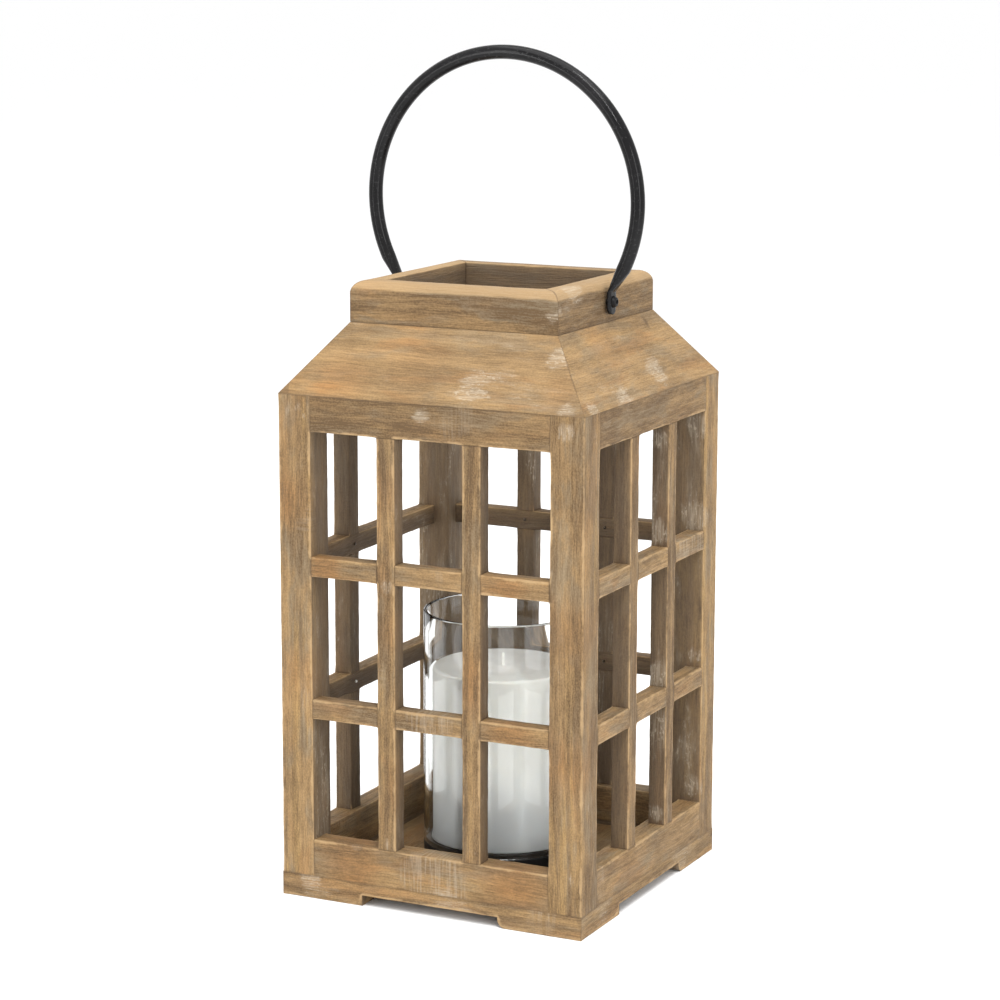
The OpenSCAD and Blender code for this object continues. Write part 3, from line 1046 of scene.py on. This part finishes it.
class LANTERN_OT_rails(bpy.types.Operator):
    """Make the four bottom rails and the four top rails"""

    bl_idname = "lantern.rails"
    bl_label = "Rails"

    def execute(self, context):
        stops = widths_of("upright_bar_front_left", "upright_bar_front_right")
        for name, tones in (("bottom_rail", (0.46, 0.55, 0.5, 0.5)),
                            ("top_rail", (0.28, 0.36, 0.4, 0.4))):
            rail = add_blank(name + "_blank", *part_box(name + "_front"))
            slice_along(rail, ALONG_X, stops)
            finish_round(rail, [f"{name}_{s}" for s in SIDES], "rail_wood", "Rail wood", name,
                         ALONG_X, ALONG_Z, tones)
        return {"FINISHED"}


class LANTERN_OT_bars(bpy.types.Operator):
    """Make the glazing bars, halved into each other where they cross"""

    bl_idname = "lantern.bars"
    bl_label = "Glazing bars"

    def execute(self, context):
        levels = levels_of("cross_bar_front_lower", "cross_bar_front_upper")
        widths = widths_of("upright_bar_front_left", "upright_bar_front_right")
        for hand in HANDS:
            low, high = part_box("upright_bar_front_" + hand)
            half = (low.y + high.y) / 2
            bar = add_blank("upright_bar_blank", low, (high.x, half, high.z))
            slice_along(bar, ALONG_Z, levels)
            with editing(bar):
                choose(bar, "FACE", lambda f: f.normal.y > 0.9 and not in_halving(
                    f.calc_center_median().z, levels))
                push((0, high.y - half, 0))
            finish_round(bar, [f"upright_bar_{s}_{hand}" for s in SIDES], "bar_wood", "Bar wood",
                         "upright_bar", ALONG_Z, ALONG_X, (0.36, 0.33, 0.34, 0.42))
        for level in LEVELS:
            low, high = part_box("cross_bar_front_" + level)
            half = (low.y + high.y) / 2
            bar = add_blank("cross_bar_blank", (low.x, half, low.z), high)
            slice_along(bar, ALONG_X, widths)
            with editing(bar):
                choose(bar, "FACE", lambda f: f.normal.y < -0.9 and not in_halving(
                    f.calc_center_median().x, widths))
                push((0, low.y - half, 0))
            finish_round(bar, [f"cross_bar_{s}_{level}" for s in SIDES], "bar_wood", "Bar wood",
                         "cross_bar", ALONG_X, ALONG_Z, (0.5, 0.46, 0.36, 0.42))
        return {"FINISHED"}


def in_halving(place, stops):
    """Whether a place along a bar is between the first and second stop, or third and fourth."""
    return stops[0] < place < stops[1] or stops[2] < place < stops[3]


class LANTERN_OT_base(bpy.types.Operator):
    """Make the four mitred base strips, each cut out between its two feet"""

    bl_idname = "lantern.base"
    bl_label = "Base strips"

    foot: length("Foot length", "Length of the foot left at each end of a strip", 48)
    gap: length("Gap height", "Height of the cut-out between the feet", 5.6)

    def execute(self, context):
        low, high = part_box("base_strip_front")
        cut = high.x - self.foot
        strip = add_blank("base_blank", (low.x, low.y, low.z + self.gap), high)
        with editing(strip):
            saw_lines(ALONG_X, (-cut, cut))
            choose(strip, "FACE", lambda f: f.normal.z < -0.9 and abs(f.calc_center_median().x) > cut)
            push((0, 0, -self.gap))
            choose(strip, "EDGE", lambda e: abs(middle(e).x - cut) < MM and middle(e).z < MM
                   and abs(e.verts[0].co.y - e.verts[1].co.y) > MM)
            round_edges(0.8 * self.gap, 8)
            mitre()
        slice_along(strip, ALONG_X, ())
        finish_round(strip, ["base_strip_" + s for s in SIDES], "base_wood", "Base wood",
                     "base_strip", ALONG_X, ALONG_Z, (0.61, 0.54, 0.5, 0.5), wide=1.3, seam=0.12)
        return {"FINISHED"}


class LANTERN_OT_roof(bpy.types.Operator):
    """Make the four sloping roof boards, mitred along the hips"""

    bl_idname = "lantern.roof"
    bl_label = "Roof boards"

    thickness: length("Board thickness", "Thickness of the boards, square to the slope", 12)

    def execute(self, context):
        low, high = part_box("roof_board_front")
        eave, ridge = Vector((0, low.y, low.z)), Vector((0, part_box("collar_board_front")[0].y, high.z))
        outward = ALONG_X.cross(ridge - eave).normalized()
        if outward.z < 0:
            outward.negate()
        board = add_blank("roof_blank", low, high)
        with editing(board):
            saw(eave, outward, off=True)
            saw(eave - outward * self.thickness, -outward, off=True)
            mitre()
        slice_along(board, ALONG_X, ())
        finish_round(board, ["roof_board_" + s for s in SIDES], "roof_wood", "Roof wood",
                     "roof_board", ALONG_X, (ridge - eave).normalized(), (0.63, 0.54, 0.6, 0.6),
                     seam=0.22)
        return {"FINISHED"}


class LANTERN_OT_collar(bpy.types.Operator):
    """Make the four mitred collar boards with their rounded tops"""

    bl_idname = "lantern.collar"
    bl_label = "Collar boards"

    rounding: length("Top rounding", "Radius that the outer top edge is rounded to", 6.5)
    cuts: IntProperty(
        name="Rounding cuts", description="Number of flats that make the rounding", default=9,
    )

    def execute(self, context):
        low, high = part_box("collar_board_front")
        low.y = -high.x
        axis = Vector((0, low.y + self.rounding, high.z - self.rounding))
        reach = math.pi / 2
        board = add_blank("collar_blank", low, high)
        with editing(board):
            for cut in range(self.cuts):
                turn = reach * (cut + 0.5) / self.cuts
                flat = Vector((0, -math.sin(turn), math.cos(turn)))
                depth = self.rounding * math.cos(reach / self.cuts / 2)
                saw(axis + flat * depth, flat, off=True)
            mitre()
        slice_along(board, ALONG_X, ())
        finish_round(board, ["collar_board_" + s for s in SIDES], "collar_wood", "Collar wood",
                     "collar_board", ALONG_X, ALONG_Z, (0.31, 0.27, 0.4, 0.4), wide=1.2, seam=0.25)
        return {"FINISHED"}


class LANTERN_OT_floor_board(bpy.types.Operator):
    """Make the floor board, countersunk from below for the plate's screw"""

    bl_idname = "lantern.floor_board"
    bl_label = "Floor board"

    def execute(self, context):
        low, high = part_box("floor_board")
        board = add_blank("floor_blank", low, high)
        slice_along(board, ALONG_X, ())
        ends, joined = weather(board, "floor_board", spacing=8 * MM)
        shank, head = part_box("plate_screw")[1].x, 2 * MM
        cut_with(board, add_round("drill", 2.05 * MM, low.z - MM, high.z + MM, 32))
        cut_with(board, add_round("countersink", shank + MM, low.z - MM, low.z + head, 32, 2 * MM))
        smooth(board)
        board.name = "floor_board_wood"
        mark_timber(board, ends, joined, ALONG_Y, ALONG_X, (ALONG_Z,), "floor_board", 0.95)
        hand_over(board, "lantern", "floor_wood", "Floor wood", "floor_board")
        return {"FINISHED"}


# ---- The fittings, the candle and the glass -------------------------------------------------------


class LANTERN_OT_bar_pins(bpy.types.Operator):
    """Make the sixteen wire pins through the crossings of the bars"""

    bl_idname = "lantern.bar_pins"
    bl_label = "Bar pins"

    diameter: length("Pin diameter", "Diameter of the wire of the pins", 1.6)
    proud: length("Proud", "How far a pin stands out of the inner face", 0.8)
    length: length("Pin length", "Length of a pin from end to end", 8.8)

    def execute(self, context):
        sides = [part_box("upright_bar_front_" + h) for h in HANDS]
        levels = [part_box("cross_bar_front_" + level) for level in LEVELS]
        inner = sides[0][1].y
        inner_x = abs(inner)
        pins = []
        for low, high in sides:
            for bottom, top in levels:
                for quarter in range(4):
                    pin = add_round("pin", self.diameter / 2, -self.length, 0, 20)
                    with editing(pin):
                        choose(pin, "EDGE", lambda e: abs(e.verts[0].co.z - e.verts[1].co.z) < 1e-6)
                        round_edges(0.3 * MM, 2)
                    pin.rotation_euler = (-math.pi / 2, 0, 0)
                    pin.location = ((low.x + high.x) / 2, inner + self.proud, (bottom.z + top.z) / 2)
                    settle()
                    turned(pin, quarter)
                    pins.append(pin)
        pick(*pins)
        bpy.ops.object.join()
        made = bpy.context.object
        made.name = "bar_pins_steel"
        smooth(made)
        gap = np.linalg.norm(places_of(made) - (-inner_x, sides[0][0].x, levels[0][1].z), axis=1)
        store(made, "bright", "FLOAT", gap < 12 * MM)
        hand_over(made, "lantern", "pin_steel", "Pin steel", "bar_pins")
        return {"FINISHED"}


class LANTERN_OT_candle_plate(bpy.types.Operator):
    """Make the black candle plate with its spigot, and the screw that holds it"""

    bl_idname = "lantern.candle_plate"
    bl_label = "Candle plate and screw"

    spigot: length("Spigot height", "Height of the step that the glass fits over", 2.5)

    def execute(self, context):
        fittings = context.scene.lantern_fittings
        low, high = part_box("candle_plate")
        radius, step_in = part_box("glass_chimney")[1].x, fittings.glass_wall + 0.4 * MM
        plate = add_round("candle_plate_black", radius, low.z, high.z - self.spigot,
                          fittings.round_sides)
        hole = 2 * MM
        with editing(plate):
            choose(plate, "FACE", lambda f: f.normal.z > 0.9)
            bpy.ops.mesh.inset(thickness=step_in)
            push((0, 0, self.spigot))
            choose(plate, "FACE", lambda f: f.normal.z < -0.9)
            bpy.ops.mesh.inset(thickness=radius - hole)
            choose(plate, "FACE", lambda f: f.normal.z < -0.9
                   and f.calc_center_median().xy.length < hole)
            push((0, 0, high.z - low.z - 4 * MM))
            choose(plate, "EDGE", lambda e: e.calc_face_angle(0) > math.radians(60)
                   and min(v.co.xy.length for v in e.verts) > 2 * hole)
            round_edges(0.5 * MM, 3)
        smooth(plate, 30)
        hand_over(plate, "lantern", "plate_black", "Plate paint", "candle_plate")

        low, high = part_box("plate_screw")
        head, shank, sink = high.x, 2 * MM, 2 * MM
        screw = add_round("plate_screw_steel", head, low.z, low.z + sink, 48, shank)
        with editing(screw):
            choose(screw, "FACE", lambda f: f.normal.z > 0.99)
            push((0, 0, high.z - low.z - sink))
            round_edges(0.5 * MM, 2)
        cut_with(screw, hexagon(1.2 * MM, low.z - MM, low.z + MM))
        smooth(screw, 30)
        hand_over(screw, "lantern", "screw_steel", "Screw steel", "plate_screw")
        return {"FINISHED"}


def hexagon(radius, bottom, top):
    """A six-sided cutter for a screw's socket."""
    return add_round("socket", radius, bottom, top, 6)


class LANTERN_OT_pivot_screws(bpy.types.Operator):
    """Make the two black screws that the bail swings on"""

    bl_idname = "lantern.pivot_screws"
    bl_label = "Pivot screws"

    head: length("Head diameter", "Diameter of the screw's round head", 6.4)
    head_top: length("Head top diameter", "Diameter of the flat on top of the head", 4.4)
    head_height: length("Head height", "Height of the screw's head", 1.9)
    shank: length("Shank diameter", "Diameter of the screw below its head", 4)

    def execute(self, context):
        low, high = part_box("pivot_screw_right")
        length = high.x - low.x
        screw = add_round("pivot_screw", self.head / 2, length - self.head_height, length, 48,
                          self.head_top / 2)
        with editing(screw):
            choose(screw, "FACE", lambda f: f.normal.z < -0.9)
            bpy.ops.mesh.inset(thickness=(self.head - self.shank) / 2)
            push((0, 0, self.head_height - length))
            choose(screw, "EDGE", lambda e: is_level(e, length))
            round_edges(0.4 * MM, 3)
            choose(screw, "EDGE", lambda e: is_level(e, length - self.head_height)
                   and min(v.co.xy.length for v in e.verts) > self.shank / 2 + 0.5 * MM)
            round_edges(0.3 * MM, 2)
        socket = hexagon(1.3 * MM, length - 0.9 * MM, length + MM)
        cut_with(screw, socket)
        pick(screw)
        screw.rotation_euler = (0, math.pi / 2, 0)
        screw.location = (low.x, 0, (low.z + high.z) / 2)
        settle()
        smooth(screw, 30)
        for name, quarter in (("pivot_screw_right", 0), ("pivot_screw_left", 2)):
            copy = twin(screw, name + "_black")
            turned(copy, quarter)
            hand_over(copy, "lantern", "screw_black", "Screw paint", name)
        bpy.data.objects.remove(screw, do_unlink=True)
        return {"FINISHED"}


class LANTERN_OT_bail(bpy.types.Operator):
    """Make the round-rod bail, forged flat at its ends round the pivot eyes"""

    bl_idname = "lantern.bail"
    bl_label = "Bail"

    sides: IntProperty(
        name="Rod sides", description="Number of faces round the rod", default=32,
    )
    turns: IntProperty(
        name="Bend steps", description="Number of faces along the bend", default=120,
    )
    arc_low: length("Arc foot", "Height above the pivots at which the bend ends", 17)
    tab_top: length("Flat height", "Height above the pivots at which the flat ends", 5)
    tab_low: length("Flat drop", "Depth below the pivots at which the end's rounding begins", 2.2)
    gap: length("Side gap", "Gap between the collar and the flattened ends", 1)

    def ring(self, place, tilt, across, wide):
        """One ring of the forging: its place, its tilt about Y and its two widths."""
        bpy.ops.object.select_all(action="DESELECT")
        bpy.ops.mesh.primitive_circle_add(vertices=self.sides, radius=0.5)
        made = bpy.context.object
        made.scale = (across, wide, 1)
        made.rotation_euler = (0, tilt, 0)
        made.location = place
        settle()
        return made

    def execute(self, context):
        fittings = context.scene.lantern_fittings
        rod, wide, thick = fittings.rod, fittings.tab_width, fittings.tab_thickness
        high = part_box("bail")[1]
        pivot = next(j for j in frame["joints"] if j["name"] == "bail_swing")["pos_m"][2]
        bend = high.x - rod / 2
        centre = high.z - high.x
        tilt = math.asin((centre - pivot - self.arc_low) / bend)
        foot = Vector((bend * math.cos(tilt), 0, pivot + self.arc_low))
        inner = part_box("collar_board_front")[1].x + self.gap
        middle_x = inner + thick / 2

        arc = self.ring(foot, tilt, rod, rod)
        with editing(arc):
            bpy.ops.mesh.spin(steps=self.turns, angle=math.pi + 2 * tilt,
                              center=(0, 0, centre), axis=(0, 1, 0))
        rings = [arc]
        bulge = 1.35 * thick
        for side in (1, -1):
            flat = Vector((middle_x, 0, pivot + self.tab_top))
            stations = [
                (foot.lerp(flat, share), (1 - share) * tilt, rod + share * (bulge - rod),
                 rod + share * (0.97 * wide - rod))
                for share in (0.2, 0.4, 0.6, 0.8)
            ]
            stations += [
                (flat, 0.0, bulge, wide),
                (Vector((middle_x, 0, pivot + 0.4 * self.tab_top)), 0.0, bulge, wide),
                (Vector((middle_x, 0, pivot - 0.5 * self.tab_low)), 0.0, bulge, wide),
            ]
            for turn in range(0, 86, 12):
                drop, reach = math.sin(math.radians(turn)), math.cos(math.radians(turn))
                stations.append((Vector((middle_x, 0, pivot - self.tab_low - drop * wide / 2)), 0.0,
                                 bulge * min(1.0, 0.5 + reach), max(0.08, reach) * wide))
            for place, lean, across, breadth in stations:
                place = Vector((side * place.x, 0, place.z))
                rings.append(self.ring(place, side * lean, across, breadth))
        pick(*rings)
        bpy.ops.object.join()
        bail = bpy.context.object
        bail.name = "bail_iron"
        with editing(bail):
            for side in (1, -1):
                choose(bail, "EDGE", lambda e: len(e.link_faces) < 2 and middle(e).x * side > 0)
                bpy.ops.mesh.bridge_edge_loops()
            choose(bail, "EDGE", lambda e: len(e.link_faces) == 1 and middle(e).x > 0)
            bpy.ops.mesh.edge_face_add()
            choose(bail, "EDGE", lambda e: len(e.link_faces) == 1 and middle(e).x < 0)
            bpy.ops.mesh.edge_face_add()
            bpy.ops.mesh.select_all(action="SELECT")
            bpy.ops.mesh.normals_make_consistent(inside=False)
        self.flatten(bail, inner, inner + thick, pivot + self.tab_top)
        eye = add_round("eye", 2.06 * MM, -high.x - MM, high.x + MM, 48)
        eye.rotation_euler = (0, math.pi / 2, 0)
        eye.location = (0, 0, pivot)
        settle()
        cut_with(bail, eye)
        smooth(bail, 40)
        hand_over(bail, "bail", "bail_black", "Bail paint", "bail")
        return {"FINISHED"}

    def flatten(self, bail, near, far, top):
        """Hammers the ends flat: what stands beyond the two faces is pressed onto them."""
        for point in bail.data.vertices:
            if point.co.z < top + 0.1 * MM:
                side = math.copysign(1, point.co.x)
                point.co.x = side * min(max(abs(point.co.x), near), far)


class LANTERN_OT_glass(bpy.types.Operator):
    """Make the glass chimney with its fire-polished rim"""

    bl_idname = "lantern.glass"
    bl_label = "Glass chimney"

    def execute(self, context):
        fittings = context.scene.lantern_fittings
        low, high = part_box("glass_chimney")
        wall = fittings.glass_wall
        tube = add_round("glass_chimney_tube", high.x, low.z, high.z, fittings.round_sides)
        with editing(tube):
            choose(tube, "FACE", lambda f: abs(f.normal.z) > 0.9)
            bpy.ops.mesh.delete(type="ONLY_FACE")
            saw_lines(ALONG_Z, [low.z + (high.z - low.z) * i / 12 for i in range(1, 12)])
        modifier(tube, "SOLIDIFY", thickness=wall, offset=-1.0)
        with editing(tube):
            choose(tube, "EDGE", lambda e: round_edge(e, high.z))
            round_edges(0.9 * MM, 5)
            choose(tube, "EDGE", lambda e: round_edge(e, low.z))
            round_edges(0.35 * MM, 3)
        smooth(tube, 50)
        hand_over(tube, "chimney", "clear_glass", "Clear glass", "glass_chimney")
        return {"FINISHED"}


def round_edge(edge, level):
    """Whether an edge at this level runs round the Z axis, rather than towards it."""
    near, far = sorted(v.co.xy.length for v in edge.verts)
    return far - near < 0.1 * MM and is_level(edge, level)


class LANTERN_OT_candle(bpy.types.Operator):
    """Make the pillar candle and its wick"""

    bl_idname = "lantern.candle"
    bl_label = "Candle and wick"

    rim: length("Rim rounding", "Radius of the candle's top edge", 1.6)
    dish: length("Dish", "Depth of the shallow dish in the candle's top", 0.7)

    def execute(self, context):
        fittings = context.scene.lantern_fittings
        low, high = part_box("candle")
        candle = add_round("candle_wax", high.x, low.z, high.z, fittings.round_sides)
        with editing(candle):
            saw_lines(ALONG_Z, [low.z + (high.z - low.z) * i / 10 for i in range(1, 10)])
            choose(candle, "EDGE", lambda e: is_level(e, high.z))
            round_edges(self.rim, 5)
            choose(candle, "EDGE", lambda e: is_level(e, low.z))
            round_edges(0.6 * MM, 3)
            choose(candle, "FACE", lambda f: f.normal.z > 0.99 and len(f.verts) > 4)
            for inset in (1.5 * MM, 4 * MM, 12 * MM, 12 * MM, 4 * MM):
                bpy.ops.mesh.inset(thickness=inset)
                bpy.ops.transform.translate(value=(0, 0, -self.dish / 5))
            bpy.ops.mesh.inset(thickness=1.2 * MM)
            bpy.ops.transform.translate(value=(0, 0, 0.4 * MM))
        smooth(candle, 40)
        hand_over(candle, "candle", "candle_wax", "Candle wax", "candle")

        low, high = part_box("wick")
        wick = add_round("wick_cotton", 0.82 * high.x, low.z, high.z - 0.3 * MM, 16)
        with editing(wick):
            saw_lines(ALONG_Z, [low.z + (high.z - low.z) * i / 16 for i in range(9, 16)])
            choose(wick, "EDGE", lambda e: all(v.co.z > high.z - MM for v in e.verts))
            round_edges(0.3 * MM, 2)
        smooth(wick, 50)
        hand_over(wick, "candle", "wick_cotton", "Wick cotton", "wick")
        return {"FINISHED"}


# ---- The studio ----------------------------------------------------------------------------------


def soft_box(name, place, target, width, height, power):
    """A rectangular lamp that shines at a target."""
    bpy.ops.object.light_add(type="AREA", location=place)
    lamp = bpy.context.object
    lamp.name = name
    lamp.data.shape = "RECTANGLE"
    lamp.data.size, lamp.data.size_y = width, height
    lamp.data.energy = power
    lamp.rotation_euler = (Vector(target) - Vector(place)).to_track_quat("-Z", "Y").to_euler()


class LANTERN_OT_studio(bpy.types.Operator):
    """Make the pale floor, the soft light and the camera"""

    bl_idname = "lantern.studio"
    bl_label = "Studio"

    def execute(self, context):
        studio = context.scene.lantern_studio
        bpy.ops.object.select_all(action="DESELECT")
        bpy.ops.mesh.primitive_circle_add(vertices=96, radius=60, fill_type="NGON")
        floor = bpy.context.object
        floor.name = "studio_floor"
        shader = start_material("Studio floor")[1]
        shader.inputs["Base Color"].default_value = (0.96, 0.96, 0.96, 1)
        shader.inputs["Roughness"].default_value = 0.8
        shader.inputs["Specular IOR Level"].default_value = 0.2
        floor.data.materials.append(bpy.data.materials["Studio floor"])

        room = bpy.data.worlds.new("Studio room")
        room.use_nodes = True
        background = next(n for n in room.node_tree.nodes if n.type == "BACKGROUND")
        background.inputs["Color"].default_value = (1, 1, 1, 1)
        background.inputs["Strength"].default_value = studio.sky
        context.scene.world = room
        middle_height = (0, 0, 0.2)
        soft_box("Overhead soft box", (0.1, -0.25, 1.7), middle_height, 1.5, 1.5, studio.box_power)
        soft_box("Left strip", (-0.75, -1.5, 0.55), middle_height, 0.12, 1.1, 4.0)
        soft_box("Right strip", (1.55, -0.9, 0.55), middle_height, 0.3, 1.1, 8.0)
        soft_box("Rim strip", (0.5, -0.7, 1.35), (0, 0, 0.4), 0.025, 0.9, 9.0)

        place, target = Vector(studio.camera_place), Vector(studio.camera_target)
        aim = (target - place).to_track_quat("-Z", "Y").to_matrix()
        aim = aim @ Matrix.Rotation(studio.camera_roll, 3, "Z")
        bpy.ops.object.camera_add(location=place, rotation=aim.to_euler())
        camera = bpy.context.object
        camera.name = "studio_camera"
        camera.data.lens, camera.data.sensor_width = studio.lens, 36
        context.scene.camera = camera
        context.scene.view_settings.view_transform = "Standard"
        return {"FINISHED"}


class LANTERN_PT_panel(bpy.types.Panel):
    """Lists the lantern's pieces and settings"""

    bl_idname = "LANTERN_PT_panel"
    bl_label = "Wooden lantern"
    bl_space_type = "VIEW_3D"
    bl_region_type = "UI"
    bl_category = "Lantern"

    def draw(self, context):
        layout = self.layout
        for maker in MAKERS:
            layout.operator(maker.bl_idname)
        for name in SETTINGS:
            group = getattr(context.scene, name)
            box = layout.box()
            for key in group.__annotations__:
                box.prop(group, key)


SETTINGS = {
    "lantern_timber": LanternTimber,
    "lantern_fittings": LanternFittings,
    "lantern_studio": LanternStudio,
}
MAKERS = (
    LANTERN_OT_finishes, LANTERN_OT_studio, LANTERN_OT_posts, LANTERN_OT_rails, LANTERN_OT_bars,
    LANTERN_OT_base, LANTERN_OT_roof, LANTERN_OT_collar, LANTERN_OT_floor_board,
    LANTERN_OT_bar_pins, LANTERN_OT_candle_plate, LANTERN_OT_pivot_screws, LANTERN_OT_bail,
    LANTERN_OT_glass, LANTERN_OT_candle,
)


def register():
    """Registers the settings, the operators and the panel."""
    for name, group in SETTINGS.items():
        bpy.utils.register_class(group)
        setattr(bpy.types.Scene, name, PointerProperty(type=group))
    for maker in MAKERS:
        bpy.utils.register_class(maker)
    bpy.utils.register_class(LANTERN_PT_panel)


def unregister():
    """Takes the settings, the operators and the panel away again."""
    bpy.utils.unregister_class(LANTERN_PT_panel)
    for maker in reversed(MAKERS):
        bpy.utils.unregister_class(maker)
    for name, group in SETTINGS.items():
        delattr(bpy.types.Scene, name)
        bpy.utils.unregister_class(group)


def main():
    """Makes every piece in order."""
    register()
    bpy.ops.object.select_all(action="DESELECT")
    for maker in MAKERS:
        group, name = maker.bl_idname.split(".")
        getattr(getattr(bpy.ops, group), name)()


if __name__ == "__main__":
    main()
